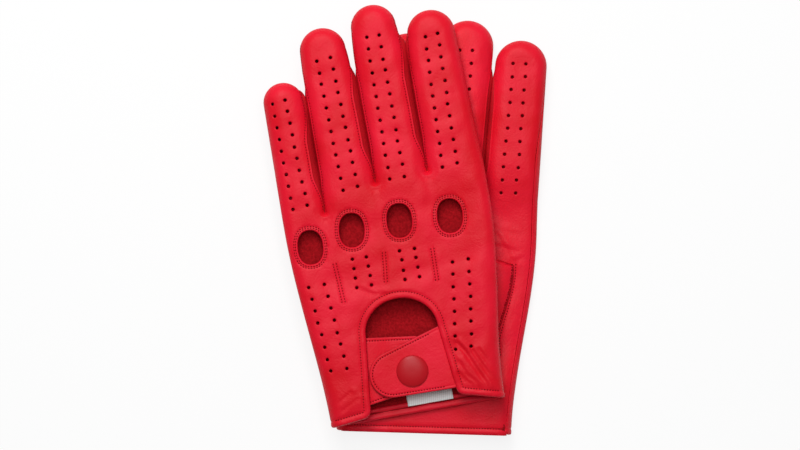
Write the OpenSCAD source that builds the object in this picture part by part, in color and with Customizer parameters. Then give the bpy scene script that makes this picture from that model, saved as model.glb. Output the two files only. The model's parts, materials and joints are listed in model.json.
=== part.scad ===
// A pair of perforated leather driving gloves, lying flat one on the other.
// The left glove lies back up on the right glove, which lies palm up.
// Each glove is drawn in its own frame: +Y from the cuff to the fingertips,
// +X towards the index finger, +Z out of the back, and Z = 0 on the palm side.

/* [Leather] */
// Thickness of the glove leather
leather_t = 0.9; // [0.7:0.1:1.1]
// Thickness of the strap and of the tab under it
strap_t = 1; // [0.8:0.1:1.2]
// Width of the turned hem at the cuff
hem_w = 7; // [4:0.5:8]
// Width of the facing sewn behind the wrist opening
facing_w = 10; // [9:0.5:12]
// Width of the facings sewn behind the knuckle holes
knuckle_facing_w = 2.6; // [1.5:0.1:3.2]
// How far a knuckle facing shows inside its hole
knuckle_lip = 0.5; // [0.3:0.1:1]

/* [Hand] */
// Length from the cuff to the tip of the middle finger
glove_length = 205; // [170:1:246]
// Width across the cuff
cuff_w = 88; // [73:1:106]
// Thickness of one glove lying flat
glove_h = 13.5; // [12.5:0.5:17]
// Depth to which the palm is pressed in, which leaves room for the folded thumb
palm_recess = 4.5; // [3.5:0.5:5]

/* [Fingers] */
// Width of the little finger at its base
pinky_w = 21.5; // [18:0.5:26]
// Width of the ring finger at its base
ring_w = 27.5; // [23:0.5:33]
// Width of the middle finger at its base
middle_w = 26.5; // [23:0.5:32]
// Width of the index finger at its base
index_w = 28.5; // [24:0.5:34]
// Width of the left glove's fingers near their tips, from the little finger to the index finger
left_tip_w = [20, 23, 22.6, 24]; // [16:0.2:27]
// Width of the right glove's fingers near their tips, where they lie flatter
right_tip_w = [20, 24, 26, 26]; // [16:0.2:27]
// How far the little finger stops short of the middle finger
pinky_short = 30.5; // [24:0.5:37]
// How far the ring finger stops short of the middle finger
ring_short = 7; // [3:0.5:12]
// How far the index finger stops short of the middle finger
index_short = 7.5; // [3:0.5:12]
// Height above the cuff of the fork between little and ring fingers
pinky_web_y = 107; // [100:0.5:112]
// Height above the cuff of the fork between ring and middle fingers
ring_web_y = 117.5; // [112:0.5:122]
// Height above the cuff of the fork between middle and index fingers
index_web_y = 118.5; // [112:0.5:123]
// Gap between two fingers at their fork
web_gap = 1.2; // [0.8:0.1:2]

/* [Thumb] */
// Distance from the cuff to the middle of the thumb's seam
thumb_y = 67; // [64:0.5:70]
// Distance from the index side of the hand to the middle of the thumb's seam
thumb_in = 12.5; // [10:0.5:16]
// Length of the thumb from its seam to its tip
thumb_length = 72; // [60:1:86]
// Width of the thumb at its seam
thumb_root_w = 38; // [32:0.5:40]
// Width of the thumb near its tip
thumb_tip_w = 24; // [20:0.5:28]
// Thickness of the thumb folded flat on the palm
thumb_h = 4; // [3.2:0.1:4.4]
// Direction in which the folded thumb points, from +X
thumb_angle = 158; // [152:1:170]
// Slant of the thumb's seam across the thumb
thumb_slant = 10.5; // [0:0.5:15]
// Length of the thumb hole in the palm
thumb_mouth_l = 24; // [18:1:30]
// Distance from the thumb's edges to the thumb hole
thumb_mouth_in = 4; // [3:0.5:6]

/* [Perforations] */
// Diameter of a punched hole
hole_d = 1.7; // [1.2:0.1:2]
// Spacing of the holes along a row
hole_pitch = 5.95; // [5:0.05:7]
// Spacing of the two rows near a fingertip
hole_gauge_tip = 6.3; // [5:0.1:7]
// Spacing of the two rows at the base of a finger
hole_gauge_base = 7.4; // [6:0.1:9]
// Spacing of the holes along a row on the palm side
palm_hole_pitch = 6.5; // [5.5:0.05:7.5]
// Number of holes in each long row on the hand
hand_rows = 8; // [6:1:9]
// Spacing of the two long rows on the hand
hand_gauge = 8.2; // [6:0.1:10]
// Number of holes in each short row below the two middle knuckles
short_rows = 4; // [2:1:4]
// Spacing of the holes along a short row
short_pitch = 4.8; // [4:0.1:5]
// Spacing of the two short rows
short_gauge = 7.4; // [6:0.1:9]

/* [Knuckle holes] */
// Width of a knuckle hole
knuckle_hole_w = 12.3; // [9:0.1:14]
// Length of a knuckle hole
knuckle_hole_l = 16.8; // [13:0.1:18]

/* [Wrist opening] */
// Width of the opening where its arch begins
arch_w = 36; // [32:0.5:40]
// Height above the cuff where the arch begins
arch_y = 42; // [40:0.5:46]
// Height of the arch
arch_rise = 16.3; // [12:0.1:20]
// Width of the opening at the cuff
notch_w = 45.5; // [42:0.5:50]
// Radius of the hem's corners at the cuff
notch_corner_r = 4.5; // [2:0.5:6]
// Slope of the cuff's hem on the little finger's side of the opening
pinky_cuff_slope = 6.5; // [0:0.5:8]
// Slope of the cuff's hem on the index finger's side of the opening
index_cuff_slope = 15; // [0:0.5:16]

/* [Strap and snap] */
// Distance from the cuff to the middle of the snap
snap_y = 21.4; // [19:0.1:23]
// Diameter of the snap's cap
cap_d = 16; // [12:0.5:17]
// Height of the cap's dome
cap_h = 1.75; // [1.2:0.05:1.8]
// Diameter of the socket under the strap
socket_d = 12.4; // [10:0.1:13]
// Diameter of the stud's head
stud_d = 5.6; // [4.5:0.1:6]
// Diameter of the shanks that hold the snap to the leather
shank_d = 3.4; // [2.6:0.1:3.8]
// Gap between strap and tab, which holds the socket and the stud
snap_gap = 2.4; // [2.2:0.1:2.8]
// Running clearance in the snap and in the holes for its shanks
snap_clearance = 0.5; // [0.3:0.05:0.6]
// Radius of the strap's free end
strap_end_r = 11.5; // [9.5:0.1:12]
// Gap between the strap's bend and the hem that it comes out from
strap_bend_gap = 1; // [0.8:0.1:1.5]
// Radius of the strap's bend
strap_bend_r = 0.6; // [0.4:0.05:0.7]

/* [Label] */
// Width of the label in the cuff
label_w = 23; // [15:1:30]
// Length of the label
label_l = 26; // [15:1:34]
// Thickness of the label
label_t = 0.3; // [0.2:0.05:0.4]

/* [Placing] */
// Turn of the left glove
left_turn = 10.1; // [-20:0.1:20]
// Turn of the right glove
right_turn = -1.7; // [-20:0.1:20]
// How far the left glove's fingertips lean out, from the little finger to the index finger
left_tip_lean = [0, -0.6, -0.6, -0.3]; // [-3:0.1:6]
// How far the right glove's fingertips lean out
right_tip_lean = [0, 1, 4, 3.7]; // [-3:0.1:6]
// How much further the left glove's fingers are drawn out than at rest
left_tip_reach = [0, 0, 0, 0]; // [0:0.1:6]
// How much further the right glove's fingers are drawn out than at rest
right_tip_reach = [0, 3, 3.3, 1.5]; // [0:0.1:6]
// Gap between the two gloves
glove_gap = 0.3; // [0.2:0.1:1]

/* [Hidden] */

// Colours
red = [0.84, 0.1, 0.14];
dark_red = [0.62, 0.05, 0.08];
cap_red = [0.75, 0.11, 0.15];
steel = [0.72, 0.72, 0.72];
white = [0.93, 0.93, 0.91];

// Where the middle of each cuff lies in the shared frame
left_at = [6.397, -95.992];
right_at = [9.147, -106.742];

// Steps along curved edges
side_steps = 10;
tip_steps = 16;
web_steps = 6;
oval_steps = 32;
bend_steps = 8;
round_fn = 48;

// Fingers, from the little finger to the index finger
finger_base_w = [pinky_w, ring_w, middle_w, index_w];
finger_rest_y = [for (short = [pinky_short, ring_short, 0, index_short]) glove_length - short];
web_y = [pinky_web_y, ring_web_y, index_web_y];
last_finger = len(finger_base_w) - 1;
knuckle_w = pinky_w + ring_w + middle_w + index_w;
// The hand is wider on the thumb's side of the cuff's middle
knuckle_shift = 2;
// How far up the hand its sides widen
side_run = 100;

// How far each pair of rows lies from the middle of its finger, at the tip and at the base
hole_drift_tip = [-2.1, -0.8, -1.7, -0.4];
hole_drift_base = [-0.8, 1, -2.2, -2.8];
// How far the first holes lie below each fingertip, on the back and on the palm side
hole_tip_gap = [9.5, 16, 16, 12.9];
palm_hole_tip_gap = [12.6, 12.2, 12, 10.5];
// How far the rows on the palm side lie from the middle of their finger
palm_hole_drift = -0.8;
// How far the last holes may lie below the fork
hole_web_reach = 1;
// The long rows on the hand: height of the first holes and distance from the hand's sides
hand_rows_y = 71.5;
hand_rows_in = [10, 18];
// The short rows: height of the first holes and the side step from their knuckle hole
short_rows_y = 81.5;
short_rows_step = 1.3;
punch_over = 1;

// The knuckle holes: heights above the cuff and side steps from the middle of the finger
knuckle_hole_y = [91, 95.8, 96.4, 94.3];
knuckle_hole_step = [0.7, -2, -4.8, -7.1];
knuckle_hole_tilt = [-5, -7, -5, -6];
// How full the knuckle holes' corners are: 1 for an ellipse, less for a fuller oval
oval_fullness = 0.86;

// The wrist opening lies a little off the middle of the cuff
notch_x = -1;

// The palm is pressed in between the wrist and the fingers
recess_start = 36;
recess_run = 11;
recess_end = 113;

// Levels in the glove's frame
back_under = glove_h - leather_t;
facing_under = back_under - leather_t;
strap_top = facing_under;
strap_under = strap_top - strap_t;
tab_top = strap_under - snap_gap;
tab_under = tab_top - strap_t;
palm_inner = leather_t;
hem_inner = palm_inner + leather_t;

// The strap
strap_bottom_y = 9.4;
strap_slope = 16;
strap_end_gap = 0.5;
strap_root_w = 8;
strap_open_y = arch_y - 1;
// The tab
tab_bottom_y = 8;
tab_top_y = 43;
tab_end_y = 37.5;
tab_reach = 11;
tab_corner_r = 8;
tab_bend_start = 1;
tab_bend_run = 5;
tab_seam_w = 3;
// The snap
snap_x = 0.7;
stud_flange_d = 10.6;
stud_flange_t = 0.4;
stud_neck_d = 4.8;
socket_lift = 0.15;
socket_roof = 0.35;
socket_lip = 0.3;
socket_edge = 0.5;
stud_head_gap = 0.2;
post_rise = 0.8;
post_flange_d = 9;
post_flange_t = 0.5;
cap_rim = 0.5;
// The label
label_x = 7;
label_y = 4;

// Curves
function smooth(t) = let (c = max(0, min(1, t))) c * c * (3 - 2 * c);
function arc(centre, r, from, to, n) =
    [for (k = [0:n]) let (a = from + (to - from) * k / n) centre + r * [cos(a), sin(a)]];
function oval(w, l) =
    [for (k = [0:oval_steps - 1])
        let (a = 360 * k / oval_steps, c = cos(a), s = sin(a))
        [w / 2 * sign(c) * pow(abs(c), oval_fullness), l / 2 * sign(s) * pow(abs(s), oval_fullness)]];
function reversed(list) = [for (k = [len(list) - 1:-1:0]) list[k]];
function sum_to(list, n, k = 0) = k >= n ? 0 : list[k] + sum_to(list, n, k + 1);

// The hand's outline, inset by d. The cuff's edge is at y = cuff.
function finger_edge_x(i) = knuckle_shift - knuckle_w / 2 + sum_to(finger_base_w, i);
function finger_x(i) = finger_edge_x(i) + finger_base_w[i] / 2;
function finger_tip_x(i) = finger_x(i) + $tip_lean[i];
function finger_tip_middle_y(i) = finger_rest_y[i] + $tip_reach[i] - $tip_w[i] / 2;
function side_x(side, y) =
    side * cuff_w / 2 + (knuckle_shift + side * (knuckle_w - cuff_w) / 2) * smooth(y / side_run);
function hand_side(side, d, cuff) =
    let (top = side < 0 ? web_y[0] : web_y[last_finger - 1])
    [for (k = [0:side_steps]) let (y = cuff + (top - cuff) * k / side_steps) [side_x(side, y) - side * d, y]];
function finger_end(i, d) =
    arc([finger_tip_x(i), finger_tip_middle_y(i)], $tip_w[i] / 2 - d, 180, 0, tip_steps);
function fork(i, d) = arc([finger_edge_x(i + 1), web_y[i]], web_gap / 2 + d, 180, 360, web_steps);
function hand_outline(d = 0, cuff = 0) =
    concat(
        hand_side(-1, d, cuff),
        [for (i = [0:last_finger]) each concat(finger_end(i, d), i < last_finger ? fork(i, d) : [])],
        reversed(hand_side(1, d, cuff))
    );

// The wrist opening's outline, with the cuff's sloping hems below it
function notch_side_x(side, y, d) =
    notch_x + side * (d + notch_w / 2 + (arch_w - notch_w) / 2 * y / arch_y);
notch_lean = (notch_w - arch_w) / 2 / arch_y;
notch_lean_angle = atan(notch_lean);
function notch_corner(side) =
    let (
        slope = side < 0 ? pinky_cuff_slope : index_cuff_slope,
        r = notch_corner_r,
        run = cuff_w / 2 - side * notch_x - notch_w / 2 - r / cos(notch_lean_angle),
        y = (run * tan(slope) + r / cos(slope)) / (1 - notch_lean * tan(slope)),
        c = [notch_side_x(side, y, 0) + side * r / cos(notch_lean_angle), y]
    )
    side < 0
        ? arc(c, r, 270 + slope, 360 - notch_lean_angle, web_steps)
        : arc(c, r, 180 + notch_lean_angle, 270 - slope, web_steps);
function notch_arch(d) =
    [for (k = [0:oval_steps / 2])
        let (a = 180 - 360 * k / oval_steps)
        [notch_x + (arch_w / 2 + d) * cos(a), arch_y + (arch_rise + d) * sin(a)]];
function notch_outline() =
    concat(
        [[-cuff_w / 2, -punch_over], [-cuff_w / 2, 0]],
        notch_corner(-1),
        notch_arch(0),
        notch_corner(1),
        [[cuff_w / 2, 0], [cuff_w / 2, -punch_over]]
    );
// The facing's outer edge: the opening grown by d, straight down to the cuff
function facing_outline(d) =
    concat(
        [[notch_side_x(-1, -punch_over, d), -punch_over]],
        notch_arch(d),
        [[notch_side_x(1, -punch_over, d), -punch_over]]
    );

// The palm's outer face, along the hand
function palm_z(y) =
    palm_recess * (smooth((y - recess_start) / recess_run) - smooth((y - recess_end) / recess_run));
palm_stations = concat(
    [-punch_over],
    [for (k = [0:bend_steps]) recess_start + recess_run * k / bend_steps],
    [for (k = [0:bend_steps]) recess_end + recess_run * k / bend_steps],
    [glove_length + punch_over]
);

// The space between two faces that follow the palm: from low above its outer face, up to high
// above it, or up to a level face
module along_palm(low, high = undef, level = undef) {
    reach = cuff_w + knuckle_w;
    under = [for (y = palm_stations) [y, palm_z(y) + low]];
    over = [for (y = palm_stations) [y, is_undef(level) ? palm_z(y) + high : level]];
    rotate([90, 0, 90])
        translate([0, 0, -reach / 2])
            linear_extrude(reach)
                polygon(concat(under, reversed(over)));
}

// Perforations: two rows from a first pair of holes down to a last pair
module punched_rows(first, last, gauge_first, gauge_last, count) {
    for (k = [0:count - 1], side = [-1, 1]) {
        t = count > 1 ? k / (count - 1) : 0;
        gauge = gauge_first + (gauge_last - gauge_first) * t;
        translate(concat(first + (last - first) * t + [side * gauge / 2, 0], -punch_over))
            cylinder(d = hole_d, h = glove_h + 2 * punch_over, $fn = round_fn);
    }
}

module finger_perforations(on_back) {
    pitch = on_back ? hole_pitch : palm_hole_pitch;
    for (i = [0:last_finger]) {
        top = finger_rest_y[i] - (on_back ? hole_tip_gap[i] : palm_hole_tip_gap[i]);
        web = max(web_y[max(i - 1, 0)], web_y[min(i, last_finger - 1)]);
        bottom = (i == 0 ? web_y[0] : web) - hole_web_reach;
        count = floor((top - bottom) / pitch) + 1;
        punched_rows(
            [on_back ? finger_x(i) + hole_drift_tip[i] : finger_tip_x(i) + palm_hole_drift, top],
            [finger_x(i) + (on_back ? hole_drift_base[i] : palm_hole_drift), top - pitch * (count - 1)],
            hole_gauge_tip, hole_gauge_base, count
        );
    }
}

module hand_perforations() {
    for (side = [-1, 1]) {
        inset = hand_rows_in[side < 0 ? 0 : 1];
        bottom = hand_rows_y - hole_pitch * 1.03 * (hand_rows - 1);
        punched_rows(
            [side_x(side, hand_rows_y) - side * inset, hand_rows_y],
            [side_x(side, bottom) - side * inset, bottom],
            hand_gauge, hand_gauge, hand_rows
        );
    }
    for (i = [1, 2]) {
        x = knuckle_at(i)[0] + short_rows_step;
        punched_rows(
            [x, short_rows_y], [x, short_rows_y - short_pitch * (short_rows - 1)],
            short_gauge, short_gauge, short_rows
        );
    }
}

// Knuckle holes
function knuckle_at(i) = [finger_x(i) + knuckle_hole_step[i], knuckle_hole_y[i]];
module knuckle_oval(i, grow) {
    translate(knuckle_at(i))
        rotate(knuckle_hole_tilt[i])
            polygon(oval(knuckle_hole_w + 2 * grow, knuckle_hole_l + 2 * grow));
}

// The walls between back and palm, all round the hand
module side_walls() {
    intersection() {
        linear_extrude(glove_h)
            difference() {
                polygon(hand_outline());
                polygon(hand_outline(leather_t, -punch_over));
            }
        along_palm(leather_t, level = back_under);
    }
}

// Where the fourchette between fingers i and i + 1 stands
fourchette_foot = 6;
module fourchette_zone(i) {
    low = web_y[i] - fourchette_foot;
    slit_x = (finger_tip_x(i) + $tip_w[i] / 2 + finger_tip_x(i + 1) - $tip_w[i + 1] / 2) / 2;
    high = [finger_tip_middle_y(i), finger_tip_middle_y(i + 1)];
    linear_extrude(glove_h)
        polygon([
            [finger_x(i), low],
            [finger_x(i + 1), low],
            [finger_tip_x(i + 1), high[1]],
            [slit_x, high[1]],
            [slit_x, high[0]],
            [finger_tip_x(i), high[0]]
        ]);
}

// The back of the hand: one skin that turns down over the sides and the fingertips
module back() {
    color(red) {
        difference() {
            translate([0, 0, back_under])
                linear_extrude(leather_t)
                    difference() {
                        polygon(hand_outline());
                        polygon(notch_outline());
                        for (i = [0:last_finger]) knuckle_oval(i, 0);
                    }
            finger_perforations(true);
            hand_perforations();
        }
        difference() {
            side_walls();
            for (i = [0:last_finger - 1]) fourchette_zone(i);
        }
        translate([0, 0, facing_under])
            linear_extrude(leather_t)
                difference() {
                    intersection() {
                        polygon(hand_outline(leather_t));
                        translate([-cuff_w, 0]) square([2 * cuff_w, hem_w]);
                    }
                    polygon(facing_outline(facing_w));
                    polygon(notch_outline());
                }
    }
}

// The palm: one skin with its own side of the fingers, a hem at the cuff and the thumb's hole
module palm() {
    color(red) {
        difference() {
            intersection() {
                linear_extrude(glove_h) polygon(hand_outline());
                along_palm(0, leather_t);
            }
            thumb_mouth(0);
            finger_perforations(false);
        }
        translate([0, 0, palm_inner])
            linear_extrude(leather_t)
                intersection() {
                    polygon(hand_outline(leather_t));
                    translate([-cuff_w, 0]) square([2 * cuff_w, hem_w]);
                }
    }
}

module fourchette(i) {
    color(dark_red)
        intersection() {
            side_walls();
            fourchette_zone(i);
        }
}

// The thumb: a flat sleeve folded across the palm, open to the hand through the palm's thumb hole.
// Its outline is inset by d, with u along the thumb from its seam and v across it.
thumb_root = [side_x(1, thumb_y) - thumb_in, thumb_y];
thumb_tip_r = thumb_tip_w / 2;
thumb_reach = thumb_length - thumb_tip_r;
thumb_taper = asin((thumb_root_w / 2 - thumb_tip_r) / thumb_reach);
function thumb_half(u, d) = (thumb_root_w / 2 - d) / cos(thumb_taper) - u * tan(thumb_taper);
function thumb_corner(side, d) =
    let (
        lean = -side * tan(thumb_slant),
        start = d / cos(thumb_slant),
        v = thumb_half(start, d) / (1 + tan(thumb_taper) * lean)
    )
    [start + v * lean, side * v];
function thumb_outline(d) =
    concat(
        [thumb_corner(1, d), thumb_corner(-1, d)],
        arc([thumb_reach, 0], thumb_tip_r - d, thumb_taper - 90, 90 - thumb_taper, tip_steps)
    );
function thumb_mouth_outline(d) =
    [thumb_corner(1, d), thumb_corner(-1, d),
     [thumb_mouth_l, -thumb_half(thumb_mouth_l, d)], [thumb_mouth_l, thumb_half(thumb_mouth_l, d)]];

module on_thumb(z, h) {
    translate([thumb_root[0], thumb_root[1], z]) rotate(thumb_angle) linear_extrude(h) children();
}
module thumb_mouth(z) {
    on_thumb(z, glove_h) polygon(thumb_mouth_outline(thumb_mouth_in));
}
module thumb() {
    low = palm_recess - thumb_h;
    color(red)
        difference() {
            on_thumb(low, thumb_h) polygon(thumb_outline(0));
            on_thumb(low + leather_t, thumb_h - 2 * leather_t) polygon(thumb_outline(leather_t));
            thumb_mouth(palm_recess - 1.5 * leather_t);
        }
}

// Facings behind the cut edges
module knuckle_facings() {
    color(red)
        for (i = [0:last_finger])
            translate([0, 0, facing_under])
                linear_extrude(leather_t)
                    difference() {
                        knuckle_oval(i, knuckle_facing_w);
                        knuckle_oval(i, -knuckle_lip);
                    }
}
module opening_facing() {
    color(red)
        translate([0, 0, facing_under])
            linear_extrude(leather_t)
                difference() {
                    intersection() {
                        polygon(facing_outline(facing_w));
                        polygon(hand_outline(leather_t));
                    }
                    polygon(notch_outline());
                }
}

// The strap bends along the hem on the index side of the opening
bend_foot = [notch_side_x(1, strap_bottom_y, -strap_bend_gap), strap_bottom_y];
bend_head = [notch_side_x(1, strap_open_y, -strap_bend_gap), strap_open_y];
bend_length = norm(bend_head - bend_foot);
bend_turn = atan2(bend_head[1] - bend_foot[1], bend_head[0] - bend_foot[0]);
strap_end = [notch_side_x(-1, snap_y, -strap_end_gap) + strap_end_r, snap_y];

module along_bend() {
    translate([bend_foot[0], bend_foot[1], strap_top]) rotate(bend_turn - 90) children();
}
module shank_hole(z) {
    translate([snap_x, snap_y, z - punch_over])
        cylinder(r = shank_room, h = strap_t + 2 * punch_over, $fn = round_fn);
}

// The strap's free tongue, from its bend to its round end
module strap() {
    color(red)
        difference() {
            union() {
                translate([0, 0, strap_under])
                    linear_extrude(strap_t)
                        polygon(concat(
                            [bend_head, bend_foot],
                            arc(strap_end, strap_end_r, 270, 90 + strap_slope, tip_steps)
                        ));
                along_bend()
                    rotate([-90, 0, 0]) cylinder(r = strap_bend_r, h = bend_length, $fn = round_fn);
            }
            shank_hole(strap_under);
        }
}

// The strap's sewn end, behind the hem
module strap_root() {
    start = 1.5 * strap_bend_r;
    color(red)
        along_bend()
            translate([start, 0, -strap_t]) cube([strap_root_w, bend_length, strap_t]);
}

// The tab under the strap: it steps up to its seam behind the hem on the other side
module tab() {
    bend_end = notch_side_x(-1, 0, 0) - tab_bend_start;
    rise = strap_top - tab_top;
    bend = [for (k = [0:bend_steps])
        let (t = k / bend_steps) [bend_end - tab_bend_run * t, tab_under + rise * smooth(t)]];
    seam_end = bend_end - tab_bend_run - tab_seam_w;
    corner_x = tab_reach - tab_corner_r;
    face = concat([[tab_reach, tab_under]], bend, [[seam_end, strap_under]]);
    color(red)
        difference() {
            intersection() {
                rotate([90, 0, 0])
                    translate([0, 0, -arch_y - arch_rise])
                        linear_extrude(arch_y + arch_rise)
                            polygon(concat(face, [for (p = reversed(face)) p + [0, strap_t]]));
                linear_extrude(glove_h)
                    polygon(concat(
                        [[seam_end, tab_top_y], [seam_end, tab_bottom_y]],
                        arc([corner_x, tab_bottom_y + tab_corner_r], tab_corner_r, 270, 360, web_steps),
                        arc([corner_x, tab_end_y - tab_corner_r], tab_corner_r, 0, 90, web_steps)
                    ));
            }
            shank_hole(tab_under);
        }
}

// The snap, turned about the middle of the strap's tongue
shank_r = shank_d / 2;
shank_room = shank_r + snap_clearance / 5;
module on_snap(z) {
    translate([snap_x, snap_y, z]) rotate_extrude($fn = round_fn) children();
}
module snap_cap() {
    dome = cap_h - cap_rim;
    dome_r = (pow(cap_d / 2, 2) + pow(dome, 2)) / (2 * dome);
    half = asin(cap_d / 2 / dome_r);
    foot = -strap_t - socket_roof;
    color(cap_red)
        on_snap(strap_top)
            polygon(concat(
                [[0, foot], [shank_r, foot], [shank_r, 0], [cap_d / 2 - cap_rim, 0]],
                arc([0, cap_h - dome_r], dome_r, 90 - half, 90, tip_steps)
            ));
}
module snap_socket() {
    low = tab_top + stud_flange_t + socket_lift;
    high = strap_under - low;
    room = stud_d / 2 + snap_clearance;
    color(steel)
        on_snap(low)
            polygon([
                [room + socket_lip, 0], [socket_d / 2 - socket_edge, 0],
                [socket_d / 2, socket_edge], [socket_d / 2, high],
                [shank_room, high], [shank_room, high - socket_roof],
                [room, high - socket_roof], [room, socket_lip]
            ]);
}
module snap_stud() {
    head = strap_under - socket_roof - stud_head_gap - tab_top;
    color(steel)
        on_snap(tab_top)
            polygon([
                [shank_room, 0], [stud_flange_d / 2, 0], [stud_flange_d / 2, stud_flange_t],
                [stud_neck_d / 2, stud_flange_t], [stud_neck_d / 2, head * 0.5],
                [stud_d / 2, head * 0.65], [stud_d / 2, head * 0.85],
                [stud_d / 2 - socket_edge, head], [shank_room, head]
            ]);
}
module snap_post() {
    high = strap_t + stud_flange_t + post_rise;
    color(steel)
        on_snap(tab_under)
            polygon([
                [0, -post_flange_t], [post_flange_d / 2, -post_flange_t], [post_flange_d / 2, 0],
                [shank_r, 0], [shank_r, high], [0, high]
            ]);
}

// A bare label sewn in the cuff of the left glove
module label() {
    color(white)
        translate([label_x - label_w / 2, label_y, hem_inner]) cube([label_w, label_l, label_t]);
}

// The left glove lies back up on the right glove, which lies palm up
module as_left() {
    $tip_w = left_tip_w;
    $tip_lean = left_tip_lean;
    $tip_reach = left_tip_reach;
    translate([left_at[0], left_at[1], glove_h + glove_gap]) rotate(left_turn) children();
}
module as_right() {
    $tip_w = right_tip_w;
    $tip_lean = right_tip_lean;
    $tip_reach = right_tip_reach;
    translate([right_at[0], right_at[1], glove_h]) rotate(right_turn) mirror([0, 0, 1]) children();
}

as_left() back();  // left_back
as_left() palm();  // left_palm
as_left() thumb();  // left_thumb
as_left() fourchette(0);  // left_fourchette_little_ring
as_left() fourchette(1);  // left_fourchette_ring_middle
as_left() fourchette(2);  // left_fourchette_middle_index
as_left() knuckle_facings();  // left_knuckle_facings
as_left() opening_facing();  // left_opening_facing
as_left() strap();  // left_strap
as_left() strap_root();  // left_strap_root
as_left() tab();  // left_tab
as_left() snap_cap();  // left_snap_cap
as_left() snap_socket();  // left_snap_socket
as_left() snap_stud();  // left_snap_stud
as_left() snap_post();  // left_snap_post
as_left() label();  // left_label
as_right() back();  // right_back
as_right() palm();  // right_palm
as_right() thumb();  // right_thumb
as_right() fourchette(0);  // right_fourchette_little_ring
as_right() fourchette(1);  // right_fourchette_ring_middle
as_right() fourchette(2);  // right_fourchette_middle_index
as_right() knuckle_facings();  // right_knuckle_facings
as_right() opening_facing();  // right_opening_facing
as_right() strap();  // right_strap
as_right() strap_root();  // right_strap_root
as_right() tab();  // right_tab
as_right() snap_cap();  // right_snap_cap
as_right() snap_socket();  // right_snap_socket
as_right() snap_stud();  // right_snap_stud
as_right() snap_post();  // right_snap_post
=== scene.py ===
"""Perforated red leather driving gloves, lying flat one on the other.

The left glove lies back up on the right one, which lies palm up. Each glove is drawn in its own
frame in millimetres: +Y from cuff to fingertips, +X towards the index finger, +Z out of the back,
and Z = 0 on the palm side. A Placing then takes its points to the shared frame in metres.
"""
import json
import logging
import math
from dataclasses import dataclass, field
from enum import Enum
from typing import Callable, Optional, Sequence

import bmesh
import bpy
import numpy as np
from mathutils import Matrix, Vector
from mathutils.geometry import delaunay_2d_cdt

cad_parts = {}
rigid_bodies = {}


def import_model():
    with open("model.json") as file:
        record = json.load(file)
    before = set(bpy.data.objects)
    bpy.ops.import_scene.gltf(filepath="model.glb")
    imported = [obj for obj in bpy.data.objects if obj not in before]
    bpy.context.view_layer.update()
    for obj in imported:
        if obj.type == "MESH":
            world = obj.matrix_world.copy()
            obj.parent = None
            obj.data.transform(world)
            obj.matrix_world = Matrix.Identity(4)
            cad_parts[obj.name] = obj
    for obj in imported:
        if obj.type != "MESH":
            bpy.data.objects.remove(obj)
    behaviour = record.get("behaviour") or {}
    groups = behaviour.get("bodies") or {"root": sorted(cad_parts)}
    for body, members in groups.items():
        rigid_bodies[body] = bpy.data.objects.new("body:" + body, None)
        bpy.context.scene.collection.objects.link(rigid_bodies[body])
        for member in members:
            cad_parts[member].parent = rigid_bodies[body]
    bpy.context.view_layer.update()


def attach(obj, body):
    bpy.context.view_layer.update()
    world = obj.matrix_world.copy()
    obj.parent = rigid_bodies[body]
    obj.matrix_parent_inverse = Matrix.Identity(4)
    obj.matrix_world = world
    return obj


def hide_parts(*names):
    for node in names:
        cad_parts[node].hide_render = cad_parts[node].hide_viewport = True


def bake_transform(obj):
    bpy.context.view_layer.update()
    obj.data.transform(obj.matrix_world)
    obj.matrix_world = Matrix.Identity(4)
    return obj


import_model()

LOG = logging.getLogger("gloves")
Array = np.ndarray
MM = 0.001
# Points are compared with lines in blocks, which keeps the arrays small
BLOCK = 2000
# Points along a finger's side, round a fingertip, on a tip's shoulder and round a fork's end
SIDE_POINTS, TIP_POINTS, SHOULDER_POINTS, FORK_POINTS = 34, 33, 7, 13
# Weight of the points round a fork's end, just past a strip's full width
IN_FORK = 1.0001
# Marks of a skin's materials
GRAIN, FLESH, CUT = 0, 1, 2


class Hand(Enum):
    """Which hand a glove is for."""

    LEFT = "left"
    RIGHT = "right"


class Face(Enum):
    """Which face of the hand a panel lies on."""

    BACK = 1
    PALM = -1


def linear(colour: str) -> tuple[float, float, float, float]:
    """Turn an sRGB hex colour to linear light.

    Args:
        colour: Hex colour such as "#E32636".

    Returns:
        Red, green, blue and an alpha of one.
    """
    parts = [int(colour[k:k + 2], 16) / 255 for k in (1, 3, 5)]
    red, green, blue = [c / 12.92 if c <= 0.04045 else ((c + 0.055) / 1.055) ** 2.4 for c in parts]
    return red, green, blue, 1.0


def per_metre(size_mm: float) -> float:
    """Texture scale for a feature of this size in millimetres."""
    return 1.0 / (size_mm * MM)


def add_node(tree: bpy.types.NodeTree, kind: str, settings: Optional[dict] = None,
             links: Optional[dict] = None) -> bpy.types.Node:
    """Add a node with its settings and links.

    Args:
        tree: Node tree that takes the node.
        kind: Blender's name of the node type.
        settings: Values by property name or input name.
        links: Output sockets by input name.

    Returns:
        The new node.
    """
    node = tree.nodes.new(kind)
    for key, value in (settings or {}).items():
        if isinstance(key, str) and hasattr(node, key):
            setattr(node, key, value)
        else:
            node.inputs[key].default_value = value
    for key, socket in (links or {}).items():
        tree.links.new(socket, node.inputs[key])
    return node


def add_object(name: str, data: bpy.types.ID) -> bpy.types.Object:
    """Add an object to the scene.

    Args:
        name: The object's name.
        data: Its mesh, light or camera.

    Returns:
        The object.
    """
    made = bpy.data.objects.new(name, data)
    bpy.context.collection.objects.link(made)
    return made


def smooth(t: Array) -> Array:
    """Ease from 0 to 1 with level ends."""
    c = np.clip(t, 0.0, 1.0)
    return c * c * (3.0 - 2.0 * c)


def arc(first: float, last: float, count: int) -> Array:
    """Points on the unit circle between two angles in degrees."""
    a = np.radians(np.linspace(first, last, count))
    return np.column_stack([np.cos(a), np.sin(a)])


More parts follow.
